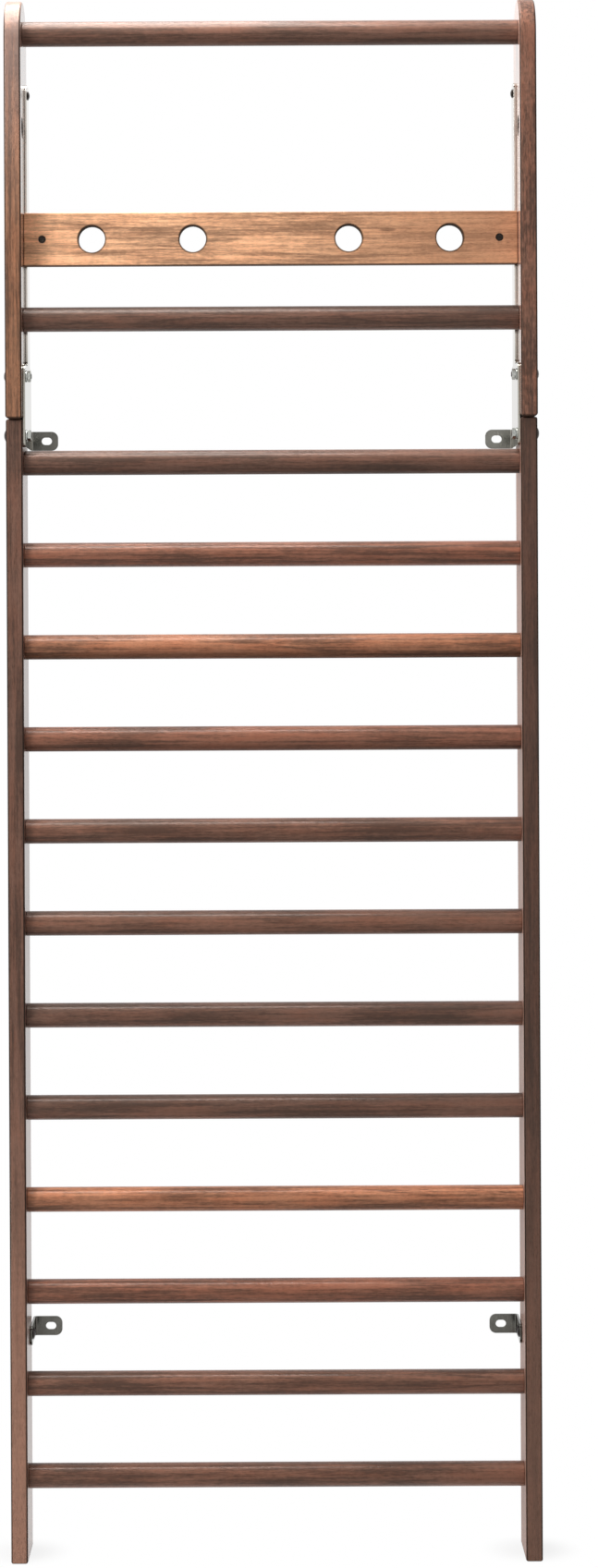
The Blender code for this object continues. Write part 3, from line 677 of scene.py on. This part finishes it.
def threaded(radius, start, end, pitch):
    """The part of a profile that runs down a threaded shank, as a row of rings."""
    depth = pitch * THREAD_DEPTH
    crest_start, crest_end = (pitch * share for share in THREAD_CREST)
    points = []
    for turn in range(int((start - end) / pitch)):
        top = start - turn * pitch
        points += [(radius - depth, top), (radius, top - crest_start), (radius, top - crest_end)]
    return points


def bolt_end(radius, tip, thread):
    """The part of a profile that runs down a bolt's threaded end to the middle of its tip."""
    pitch, length, taper = thread
    start = tip + length
    turns = threaded(radius, start - THREAD_START, tip + THREAD_STOP, pitch)
    return [(radius, start), *turns, (radius - taper, tip), (0, tip)]


def arc_profile(radius, height, rim):
    """The part of a profile that runs down a low dome to the foot of its rim at height 0."""
    rise = height - rim
    sphere = (radius**2 + rise**2) / (2 * rise)
    reach = math.asin(radius / sphere)
    dome = []
    for step in range(DOME_STEPS + 1):
        angle = reach * step / DOME_STEPS
        dome.append((sphere * math.sin(angle), height - sphere * (1 - math.cos(angle))))
    return dome + [(radius, 0)]


def show(name, mesh, finish, slot_name, *nodes):
    """Puts a piece in the scene for these CAD nodes, with smooth rounds and flat faces kept flat."""
    mesh.name = name
    mesh.materials.clear()
    mesh.materials.append(finish)
    mesh.shade_smooth()
    mesh.set_sharp_from_angle(angle=SHARP_ANGLE)
    piece = bpy.data.objects.new(name, mesh)
    bpy.context.scene.collection.objects.link(piece)
    evened = piece.modifiers.new("flat faces", "WEIGHTED_NORMAL")
    evened.keep_sharp = True
    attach(piece, "root")
    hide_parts(*nodes)


# Places that the frame gives


def middle(node):
    low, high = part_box(node)
    return (low + high) / 2


LOWER_LOW, LOWER_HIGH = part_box("lower_upright_right")
UPPER_LOW, UPPER_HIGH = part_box("upper_upright_right")
INNER_FACE = LOWER_LOW.x
OUTER_FACE = LOWER_HIGH.x
THICKNESS = OUTER_FACE - INNER_FACE
UPRIGHT_MIDDLE = (INNER_FACE + OUTER_FACE) / 2
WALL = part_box("upper_wall_bracket_right")[1].y
LADDER = [f"bar_{number:02d}" for number in range(14, 2, -1)]
HEAD_BARS = ["bar_02", "pull_up_bar"]
BAR_LOW, BAR_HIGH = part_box("pull_up_bar")
BAR_Y = (BAR_LOW.y + BAR_HIGH.y) / 2
BAR_RADIUS = (BAR_HIGH.z - BAR_LOW.z) / 2
TENON_END = BAR_HIGH.x
BOARD_LOW, BOARD_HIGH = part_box("cross_board")
BOARD_MIDDLE = (BOARD_LOW + BOARD_HIGH) / 2
SIDE_HOLE = (UPPER_LOW.y + SIDE_HOLE_SETBACK, middle("pull_up_bar").z - SIDE_HOLE_DROP)


def socket_cutters(bars, sign):
    reach = TENON_END + GAP - INNER_FACE
    cutter = bore(TENON_DIAMETER / 2 + GAP, 2 * reach)
    return [laid(cutter, (sign * INNER_FACE, BAR_Y, middle(bar).z), along_x(1)) for bar in bars]


def screw_cutter(node, sign):
    place = middle(node)
    cutter = bore(SCREW_DIAMETER / 2 + GAP, SCREW_BORE, SMALL_FACETS)
    return laid(cutter, (sign * INNER_FACE, place.y, place.z), along_x(1))


def bolt_cutter(node, diameter, sign):
    place = middle(node)
    cutter = bore(diameter / 2 + GAP, 3 * THICKNESS, SMALL_FACETS)
    return laid(cutter, (sign * UPRIGHT_MIDDLE, place.y, place.z), along_x(1))


def dowel_cutters(side):
    cutters = []
    for end in DEPTHS:
        low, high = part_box(f"splice_dowel_{side}_{end}")
        radius = (high.x - low.x) / 2 + GAP
        cutters.append(laid(bore(radius, high.z - low.z + 2 * GAP, SMALL_FACETS), (low + high) / 2))
    return cutters


# Wood pieces


def build_lower_uprights(finishes):
    radii = (FOOT_RADIUS,) * 4
    outline = box_outline(LOWER_LOW.y, LOWER_LOW.z + INSET, LOWER_HIGH.y, LOWER_HIGH.z, *radii)
    board = plate([outline], THICKNESS, EDGE_RADIUS)
    for side, sign in SIDES:
        mesh = laid(board, (sign * UPRIGHT_MIDDLE, 0, 0), SIDEWAYS)
        cutters = socket_cutters(LADDER, sign) + dowel_cutters(side)
        cutters.append(bolt_cutter(f"splice_bolt_{side}_lower", SPLICE_BOLT_DIAMETER, sign))
        cutters += [screw_cutter(f"lower_bracket_screw_{side}_{end}", sign) for end in DEPTHS]
        mesh = carved(mesh, joined(cutters))
        show(f"ladder_upright_{side}", mesh, finishes[side], "upright_wood", f"lower_upright_{side}")


def build_upper_uprights(finishes):
    low, high = UPPER_LOW, UPPER_HIGH
    head_radius = (high.y - low.y) / 2 - INSET
    radii = (SPLICE_END_RADIUS, SPLICE_END_RADIUS, head_radius, head_radius)
    outline = box_outline(low.y + INSET, low.z, high.y - INSET, high.z - INSET, *radii)
    board = plate([outline], THICKNESS, EDGE_RADIUS)
    half_width = THICKNESS / 2 + GAP
    bottom = low.z - GAP
    radii = (SPLICE_END_EASE, SPLICE_END_EASE, GAP, GAP)
    outline = box_outline(-half_width, bottom, half_width, high.z + GAP, *radii)
    ease = plate([outline], 2 * UPRIGHT_REACH)
    for side, sign in SIDES:
        centre = sign * UPRIGHT_MIDDLE
        mesh = laid(board, (centre, 0, 0), SIDEWAYS)
        mesh = carved(mesh, laid(ease, (centre, 0, 0), FACING_FRONT), operation="INTERSECT")
        cutters = socket_cutters(HEAD_BARS, sign) + dowel_cutters(side)
        cutters.append(bolt_cutter(f"splice_bolt_{side}_upper", SPLICE_BOLT_DIAMETER, sign))
        cutters.append(bolt_cutter(f"board_bolt_{side}", BOARD_BOLT_DIAMETER, sign))
        cutters.append(screw_cutter(f"tail_screw_{side}", sign))
        side_hole = eased_bore(SIDE_HOLE_DIAMETER / 2, THICKNESS, SIDE_HOLE_EASE)
        cutters.append(laid(side_hole, (centre, *SIDE_HOLE), along_x(1)))
        low_head, high_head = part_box(f"board_bolt_{side}")
        seat_radius = (high_head.z - low_head.z) / 2 + GAP
        seat = bore(seat_radius, 2 * (BOARD_BOLT_HEAD + 2 * GAP))
        seat = laid(seat, (sign * OUTER_FACE, BOARD_MIDDLE.y, BOARD_MIDDLE.z), along_x(1))
        mesh = carved(mesh, joined(cutters), seat)
        show(f"head_upright_{side}", mesh, finishes[side], "upright_wood", f"upper_upright_{side}")


def build_bars(finishes):
    """Each bar is turned from one profile: tenon, shoulder, body, shoulder, tenon."""
    tenon_radius = TENON_DIAMETER / 2
    shoulder = INNER_FACE - GAP
    half = [
        (0, TENON_END),
        (tenon_radius - TENON_EASE, TENON_END),
        (tenon_radius, TENON_END - TENON_EASE),
        (tenon_radius, shoulder),
        *quarter_round(BAR_RADIUS, shoulder, BAR_EASE, -1),
    ]
    bar = turned(mirrored(half), BAR_FACETS)
    for node in HEAD_BARS + LADDER:
        mesh = laid(bar, (0, BAR_Y, middle(node).z), along_x(1))
        show(f"turned_{node}", mesh, finishes[node], "bar_wood", node)


def build_cross_board(finish):
    half = (BOARD_HIGH - BOARD_LOW) / 2
    outline = box_outline(-half.x, -half.z, half.x, half.z, *(BOARD_CORNER_RADIUS,) * 4)
    places = [(sign * offset, 0) for offset in BOARD_HOLE_OFFSETS for _, sign in SIDES]
    holes = [hole(place, BOARD_HOLE_DIAMETER / 2, FINGER_HOLE_FACETS) for place in places]
    board = laid(plate([outline, *holes], 2 * half.y, BOARD_EDGE_RADIUS), BOARD_MIDDLE, FACING_FRONT)
    barrels = []
    bolts = []
    for side, sign in SIDES:
        low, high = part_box(f"barrel_nut_{side}")
        centre = (low + high) / 2
        depth = high.y + GAP - BOARD_LOW.y
        cutter = bore((high.z - low.z) / 2 + GAP, 2 * depth)
        barrels.append(laid(cutter, (centre.x, BOARD_LOW.y, centre.z), FACING_FRONT))
        low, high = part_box(f"board_bolt_{side}")
        reach = half.x - min(abs(low.x), abs(high.x)) + GAP
        cutter = bore(BOARD_BOLT_DIAMETER / 2 + GAP, 2 * reach, SMALL_FACETS)
        bolts.append(laid(cutter, (sign * half.x, centre.y, centre.z), along_x(1)))
    mesh = carved(board, joined(barrels), joined(bolts))
    show("pierced_board", mesh, finish, "board_wood", "cross_board")


def dress_dowels(finish):
    """The dowels lie hidden in the joint, so their CAD meshes stay and only take their wood."""
    for side, _ in SIDES:
        for end in DEPTHS:
            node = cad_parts[f"splice_dowel_{side}_{end}"]
            node.data.materials.clear()
            node.data.materials.append(finish)


# Folded steel


def folded(outlines, fold_start, sign):
    """Folds a flat blank through a right angle, towards the middle from the side that sign gives.

    The blank's u runs back to the wall and its v runs up. Folded, the leg's outer skin lies at x = 0
    and the tab's back at y = 0."""
    mesh = plate(outlines, SHEET, SHEET_EASE, THIN_EDGE_STEPS)
    outer_radius = FOLD_RADIUS + SHEET
    fold_length = (FOLD_RADIUS + SHEET / 2) * math.pi / 2
    shape = bmesh.new()
    shape.from_mesh(mesh)
    bmesh.ops.dissolve_limit(shape, angle_limit=FLAT_ANGLE, verts=shape.verts, edges=shape.edges)
    for step in range(FOLD_STEPS + 1):
        everything = shape.verts[:] + shape.edges[:] + shape.faces[:]
        line = (fold_start + fold_length * step / FOLD_STEPS, 0, 0)
        bmesh.ops.bisect_plane(shape, geom=everything, dist=WELD, plane_co=line, plane_no=(1, 0, 0))
    bmesh.ops.triangulate(shape, faces=shape.faces)
    for vert in shape.verts:
        u, v, across = vert.co
        past = u - fold_start
        angle = min(max(past / fold_length, 0), 1) * math.pi / 2
        radius = outer_radius - (across + SHEET / 2)
        inset = outer_radius - radius * math.cos(angle) + max(past - fold_length, 0)
        back = min(past, 0) + radius * math.sin(angle) - outer_radius
        vert.co = (-sign * inset, back, v)
    if sign > 0:
        bmesh.ops.reverse_faces(shape, faces=shape.faces)
    shape.to_mesh(mesh)
    shape.free()
    return mesh


def blank_marks(leg):
    """Along a blank, from the front end of its leg: the start of its fold, its slot and its free end."""
    fold_start = leg - FOLD_RADIUS - SHEET
    tab_start = fold_start + (FOLD_RADIUS + SHEET / 2) * math.pi / 2
    return fold_start, tab_start + SLOT_FROM_LEG - FOLD_RADIUS, tab_start + TAB_LENGTH - FOLD_RADIUS


def bracket_pair(name, node, outline, fold_start, slot_centre, fixings, finish):
    """Cuts the slot and the round holes for these fixings in a blank, and folds it for each side."""
    low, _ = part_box(f"{node}_right")
    outlines = [outline, slot((slot_centre, TAB_HEIGHT / 2))]
    for fixing, diameter in fixings:
        place = middle(fixing)
        outlines.append(hole((place.y - low.y, place.z - low.z), diameter / 2 + GAP, SMALL_FACETS))
    for side, sign in SIDES:
        mesh = laid(folded(outlines, fold_start, sign), (sign * (INNER_FACE - GAP), WALL, low.z))
        show(f"{name}_{side}", mesh, finish, "bracket_steel", f"{node}_{side}")


def build_upper_brackets(finish):
    low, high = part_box("upper_wall_bracket_right")
    split = (LOWER_HIGH.z + UPPER_LOW.z) / 2
    fold_start, slot_centre, free_end = blank_marks(WALL - low.y)
    plate_back = WALL - PLATE_WALL_MARGIN - low.y
    plate_top = split + PLATE_ABOVE_SPLIT - low.z
    tail_front = BOARD_HIGH.y + TAIL_FRONT_GAP - low.y
    tail_back = UPPER_HIGH.y - TAIL_BACK_MARGIN - low.y
    tail_end = high.z - low.z
    outline = rounded(
        [
            (0, 0, PLATE_CORNER_RADIUS),
            (free_end, 0, TAB_CORNER_RADIUS),
            (free_end, TAB_HEIGHT, TAB_CORNER_RADIUS),
            (plate_back, TAB_HEIGHT, FOLD_RADIUS),
            (plate_back, plate_top, PLATE_CORNER_RADIUS),
            (tail_back, plate_top, FOLD_RADIUS),
            (tail_back, tail_end, TAIL_CORNER_RADIUS),
            (tail_front, tail_end, TAIL_CORNER_RADIUS),
            (tail_front, plate_top, PLATE_CORNER_RADIUS),
            (0, plate_top, PLATE_CORNER_RADIUS),
        ]
    )
    fixings = [(f"splice_bolt_right_{end}", SPLICE_BOLT_DIAMETER) for end in SPLICE_ENDS]
    fixings.append(("tail_screw_right", SCREW_DIAMETER))
    bracket_pair("splice_plate", "upper_wall_bracket", outline, fold_start, slot_centre, fixings, finish)


def build_lower_brackets(finish):
    low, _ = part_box("lower_wall_bracket_right")
    fold_start, slot_centre, free_end = blank_marks(WALL - low.y)
    radii = (LEG_CORNER_RADIUS, TAB_CORNER_RADIUS, TAB_CORNER_RADIUS, LEG_CORNER_RADIUS)
    outline = box_outline(0, 0, free_end, TAB_HEIGHT, *radii)
    fixings = [(f"lower_bracket_screw_right_{end}", SCREW_DIAMETER) for end in DEPTHS]
    bracket_pair("angle_bracket", "lower_wall_bracket", outline, fold_start, slot_centre, fixings, finish)


# Fasteners


def hexagon(across_flats):
    return circle(across_flats / math.sqrt(3), 6)


def headed(profile, drive, top):
    """A turned piece with a hexagon socket of this size and depth in the top of its head."""
    across_flats, depth = drive
    prism = laid(plate([hexagon(across_flats)], 2 * depth), (0, 0, top))
    return carved(turned(profile, TURNED_FACETS), prism)


def blade(span, width, depth):
    """A cutter that takes a straight groove out of a face at height 0."""
    corners = (BLADE_CORNER,) * 4
    return plate([box_outline(-span / 2, -width / 2, span / 2, width / 2, *corners)], 2 * depth)


def build_splice_bolts(bolt_finish, nut_finish):
    for side, sign in SIDES:
        for end in SPLICE_ENDS:
            node = f"splice_bolt_{side}_{end}"
            low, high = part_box(node)
            centre = (low + high) / 2
            outer = max(abs(low.x), abs(high.x))
            length = high.x - low.x
            head_radius = (high.z - low.z) / 2
            head_height = outer - OUTER_FACE - GAP
            radius = SPLICE_BOLT_DIAMETER / 2
            tip = head_height - length
            profile = arc_profile(head_radius, head_height, SPLICE_BOLT_RIM)
            profile += [(radius, 0), *bolt_end(radius, tip, SPLICE_THREAD)]
            bolt = headed(profile, SPLICE_SOCKET, head_height)
            seat = (sign * (OUTER_FACE + GAP), centre.y, centre.z)
            mesh = laid(bolt, seat, along_x(sign))
            show(f"dome_bolt_{side}_{end}", mesh, bolt_finish, "black_steel", node)
            build_washer(side, end, nut_finish)
            build_nut(side, end, nut_finish)


def build_washer(side, end, finish):
    node = f"splice_washer_{side}_{end}"
    low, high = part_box(node)
    rings = [circle((high.z - low.z) / 2, TURNED_FACETS), hole((0, 0), SPLICE_BOLT_DIAMETER / 2 + GAP)]
    washer = plate(rings, high.x - low.x, WASHER_EASE, THIN_EDGE_STEPS)
    mesh = laid(washer, (low + high) / 2, SIDEWAYS)
    show(f"plain_washer_{side}_{end}", mesh, finish, "bright_zinc", node)


def build_nut(side, end, finish):
    """A hexagon nut whose corners are turned back at both ends."""
    node = f"splice_nut_{side}_{end}"
    low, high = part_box(node)
    height = high.x - low.x
    corner = max(high.y - low.y, high.z - low.z) / 2
    flat = corner * math.sqrt(3) / 2
    chamfer = (corner - flat) * math.tan(NUT_CHAMFER)
    prism = plate([hexagon(2 * flat), hole((0, 0), SPLICE_BOLT_DIAMETER / 2 + GAP, SMALL_FACETS)], height)
    face, rim, fall = NUT_CROWN
    half = [(0, height / 2), (flat * face, height / 2), (corner * rim, height / 2 - chamfer * fall)]
    crown = turned(mirrored(half), TURNED_FACETS)
    turn = 0.0 if high.y - low.y > high.z - low.z else math.pi / 2
    mesh = laid(carved(prism, crown, operation="INTERSECT"), (low + high) / 2, SIDEWAYS, turn)
    show(f"hexagon_nut_{side}_{end}", mesh, finish, "bright_zinc", node)


def build_board_fasteners(finish):
    for side, sign in SIDES:
        node = f"board_bolt_{side}"
        low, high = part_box(node)
        centre = (low + high) / 2
        head_radius = (high.z - low.z) / 2
        outer = max(abs(low.x), abs(high.x))
        tip = -(high.x - low.x)
        radius = BOARD_BOLT_DIAMETER / 2
        profile = [(0, 0), (head_radius - FASTENER_EASE, 0), (head_radius, -FASTENER_EASE)]
        profile += [(head_radius, -BOARD_BOLT_HEAD), (radius, -BOARD_BOLT_HEAD)]
        profile += bolt_end(radius, tip, BOARD_THREAD)
        bolt = headed(profile, BOARD_BOLT_SOCKET, 0)
        mesh = laid(bolt, (sign * outer, centre.y, centre.z), along_x(sign))
        show(f"sunk_bolt_{side}", mesh, finish, "black_steel", node)
        build_barrel_nut(side, finish)


def build_barrel_nut(side, finish):
    """A round nut that lies across the board, slotted so that it can be turned to meet its bolt."""
    node = f"barrel_nut_{side}"
    low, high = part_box(node)
    centre = (low + high) / 2
    radius = (high.z - low.z) / 2
    length = high.y - low.y
    profile = [(0, 0), (radius - FASTENER_EASE, 0), (radius, -FASTENER_EASE), (radius, -length), (0, -length)]
    barrel = laid(turned(profile, TURNED_FACETS), (centre.x, low.y, centre.z), FACING_FRONT)
    groove = blade(2 * radius * BARREL_SLOT_OVERHANG, *BARREL_SLOT)
    groove = laid(groove, (centre.x, low.y, centre.z), FACING_FRONT)
    thread = bore(BOARD_BOLT_DIAMETER / 2 + GAP, 4 * radius, SMALL_FACETS)
    thread = laid(thread, (centre.x, BOARD_MIDDLE.y, BOARD_MIDDLE.z), along_x(1))
    show(f"slotted_barrel_{side}", carved(barrel, groove, thread), finish, "black_steel", node)


def bracket_screw(node):
    """A wood screw with a low domed head and a cross recess, along its own Z with its head's top at 0."""
    low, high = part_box(node)
    head_radius = (high.z - low.z) / 2
    length = high.x - low.x
    radius = SCREW_DIAMETER / 2
    shank_end = -SCREW_HEAD - SCREW_SHANK
    thread_end = SCREW_TIP_LENGTH - length
    dome = arc_profile(head_radius, SCREW_HEAD, SCREW_RIM)
    profile = [(spread, level - SCREW_HEAD) for spread, level in dome]
    profile += [(radius, -SCREW_HEAD), (radius, shank_end)]
    profile += threaded(radius, shank_end - THREAD_START, thread_end, SCREW_PITCH)
    profile += [(radius * SCREW_TIP_START, thread_end), (0, -length)]
    width, span, depth = SCREW_RECESS
    recess = blade(span, width, depth)
    blades = [laid(recess, (0, 0, 0), turn=turn) for turn in (0.0, math.pi / 2)]
    return carved(turned(profile, TURNED_FACETS), *blades)


def build_screws(finish):
    for side, sign in SIDES:
        for node in (f"tail_screw_{side}", *(f"lower_bracket_screw_{side}_{end}" for end in DEPTHS)):
            low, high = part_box(node)
            centre = (low + high) / 2
            head = min(abs(low.x), abs(high.x))
            mesh = laid(bracket_screw(node), (sign * head, centre.y, centre.z), along_x(-sign))
            show(f"dome_head_{node}", mesh, finish, "black_steel", node)


# Stage


def build_camera():
    camera = bpy.data.cameras.new("camera")
    camera.sensor_fit = "VERTICAL"
    camera.sensor_height = SENSOR
    camera.lens = SENSOR * FOCAL_PIXELS / PHOTO_HEIGHT
    camera.shift_x = -AXIS_RIGHT_OF_CENTRE / PHOTO_HEIGHT
    camera.shift_y = -AXIS_ABOVE_CENTRE / PHOTO_HEIGHT
    view = bpy.data.objects.new("camera", camera)
    bpy.context.scene.collection.objects.link(view)
    square_on = Matrix.Rotation(math.pi / 2, 4, "X")
    view.matrix_world = Matrix.Translation(CAMERA_PLACE) @ square_on @ Matrix.Rotation(-CAMERA_ROLL, 4, "Z")
    bpy.context.scene.camera = view


def build_lamp(name, place, target, size, power):
    lamp = bpy.data.lights.new(name, "AREA")
    lamp.shape = "RECTANGLE"
    lamp.size, lamp.size_y = size
    lamp.energy = power
    holder = bpy.data.objects.new(name, lamp)
    bpy.context.scene.collection.objects.link(holder)
    aim = (Vector(target) - Vector(place)).to_track_quat("-Z", "Y").to_matrix().to_4x4()
    holder.matrix_world = Matrix.Translation(place) @ aim


def seen_rays(finish):
    """1 for what the camera sees straight, in a reflection or through glass, and 0 for light."""
    kinds = ("Is Camera Ray", "Is Glossy Ray", "Is Transmission Ray")
    camera, glossy, transmission = (finish.add("ShaderNodeLightPath", output=kind) for kind in kinds)
    return 1 - (1 - camera) * (1 - glossy) * (1 - transmission)


def build_world():
    """White where it is seen, and dimmer as light."""
    world = bpy.data.worlds.new("studio")
    bpy.context.scene.world = world
    world.use_nodes = True
    finish = Finish(world.node_tree)
    seen = seen_rays(finish)
    background = finish.tree.nodes["Background"]
    background.inputs["Color"].default_value = (1, 1, 1, 1)
    finish.feed(background.inputs["Strength"], seen + (1 - seen) * AMBIENT)


def build_floor():
    """A pale floor that is seen white, with the object's shadow kept near it and a painted shade
    round each foot.
    """
    shape = bmesh.new()
    bmesh.ops.create_grid(shape, x_segments=1, y_segments=1, size=FLOOR_REACH)
    mesh = bpy.data.meshes.new("floor")
    shape.to_mesh(mesh)
    shape.free()
    surface = Surface("pale_floor", Base_Color=FLOOR_COLOUR, Roughness=0.9, Specular_IOR_Level=0.0)
    x, y, _ = surface.place()
    aside = (x * x) ** 0.5 - UPRIGHT_MIDDLE
    far = ((aside * aside + y * y) ** 0.5).between(*SHADOW_FADE)
    glow = surface.add("ShaderNodeEmission", sockets={"Color": (1, 1, 1, 1), "Strength": 1.0})
    lit = Value(surface, surface.shader.outputs["BSDF"])
    # Near a foot less white is seen, so the lit floor shows the shadow and a painted shade round the foot
    share = seen_rays(surface) * (SHADOW_VEIL + far * (1 - SHADOW_VEIL))
    both = surface.add("ShaderNodeMixShader", sockets={0: share, 1: lit, 2: glow})
    surface.feed(surface.tree.nodes["Material Output"].inputs["Surface"], both)
    mesh.materials.append(surface.material)
    floor = bpy.data.objects.new("floor", mesh)
    bpy.context.scene.collection.objects.link(floor)


BAR_LOOKS = {  # each bar's stock, topside and underside: shares of painted light on top and of painted shade below
    "pull_up_bar": ("dark", 0.0, 0.2),
    "bar_02": ("dark", -0.65, 0.0),
    "bar_03": ("dark", 0.0, 0.3),
    "bar_04": ("red", 0.0, 0.0),
    "bar_05": ("honey", 0.0, 0.65),
    "bar_06": ("red", 0.0, 0.45),
    "bar_07": ("plain", 0.0, 0.2),
    "bar_08": ("plain", -0.35, 0.2),
    "bar_09": ("dark", -0.20, -0.55),
    "bar_10": ("dark", -0.35, -0.2),
    "bar_11": ("honey", 0.50, 0.0),
    "bar_12": ("red", 0.35, 0.0),
    "bar_13": ("plain", 0.20, -0.1),
    "bar_14": ("plain", 0.0, -0.1),
}
BAR_PITH_DROP = 0.03  # below each bar's own middle
BAR_PITH_DEPTH = 0.10  # along Y
BAR_SEED_STEP = 3.1

build_camera()
build_world()
build_floor()
for name, settings in LAMPS.items():
    build_lamp(name, *settings)

bar_finishes = {}
for index, (node, (stock, painted_top_light, painted_underside_shade)) in enumerate(BAR_LOOKS.items()):
    pith = (middle(node).z - BAR_PITH_DROP, BAR_PITH_DEPTH)
    seed = BAR_SEED_STEP * index + 1
    lights = {"painted_top_light": painted_top_light, "painted_underside_shade": painted_underside_shade}
    bar_finishes[node] = wood(f"walnut_{node}", stock, "xzy", seed, pith, **lights)
# Uprights get painted shade on their rounded front edges and on what faces down, and a painted sheen on their
# faces towards the middle
upright = {"painted_edge_shade": 0.95, "painted_underside_shade": 0.8, "painted_cheek_sheen": 0.5}
# The ladder uprights turn paler towards their feet, a painted sheen
ladder_finishes = {
    "left": wood(
        "walnut_ladder_left", "dark", "zxy", 11.3, (-0.30, 0.12), painted_fade=(0.75, 0.05, 0.60, "painted_foot_sheen"),
        knot=(1.480, -0.344, 0.055, 0.020, 0.30), slanted=(0.32, 0.38), **upright
    ),
    "right": wood(
        "walnut_ladder_right", "deep", "zxy", 17.9, (0.31, 0.14), painted_fade=(0.75, 0.05, 0.25, "painted_foot_sheen"),
        knot=(1.225, 0.344, 0.080, 0.020, 0.28), slanted=(0.50, 0.10), **upright
    ),
}
side_hole = [({"y": SIDE_HOLE[0], "z": SIDE_HOLE[1]}, SIDE_HOLE_DIAMETER / 2)]
upright.update(holes=side_hole, slanted=(0.15, 0.55))
# The left head turns paler towards its top, a painted sheen
head_finishes = {
    "left": wood(
        "walnut_head_left", "brown", "zxy", 23.7, (-0.39, 0.11), painted_fade=(1.75, 2.07, 0.33, "painted_head_sheen"),
        knot=(1.795, -0.344, 0.050, 0.020, -0.32), **upright
    ),
    "right": wood(
        "walnut_head_right", "plain", "zxy", 29.1, (0.40, 0.12), mottle=0.7,
        knot=(1.615, 0.344, 0.045, 0.018, 0.45), **upright
    ),
}
board_holes = [
    ({"x": sign * offset, "z": BOARD_MIDDLE.z}, BOARD_HOLE_DIAMETER / 2)
    for offset in BOARD_HOLE_OFFSETS
    for _, sign in SIDES
]
# The board gets painted shade towards its right end, on what faces down and inside its holes
board_finish = wood(
    "pale_board", "pale", "xzy", 41.3, (1.70, 0.06), ring_pitch=0.0055, contrast=0.8, blush=0.25,
    painted_underside_shade=0.8, painted_fade=(-0.10, 0.33, 0.7, "painted_board_shade"), holes=board_holes,
    knot=(0.157, BOARD_MIDDLE.z + 0.011, 0.014, 0.0035, 0.9),
)

build_lower_uprights(ladder_finishes)
build_upper_uprights(head_finishes)
build_bars(bar_finishes)
build_cross_board(board_finish)
dress_dowels(wood("beech_dowel", "beech", "zxy", 53.0, (0.3, 0.1)))
steel = sheet_steel("grey_sheet_steel")
build_upper_brackets(steel)
build_lower_brackets(steel)
black = black_oxide("black_fasteners")
build_splice_bolts(black, zinc_plate("bright_zinc_plate"))
build_board_fasteners(black)
build_screws(black)

bpy.context.scene.view_settings.view_transform = "Standard"
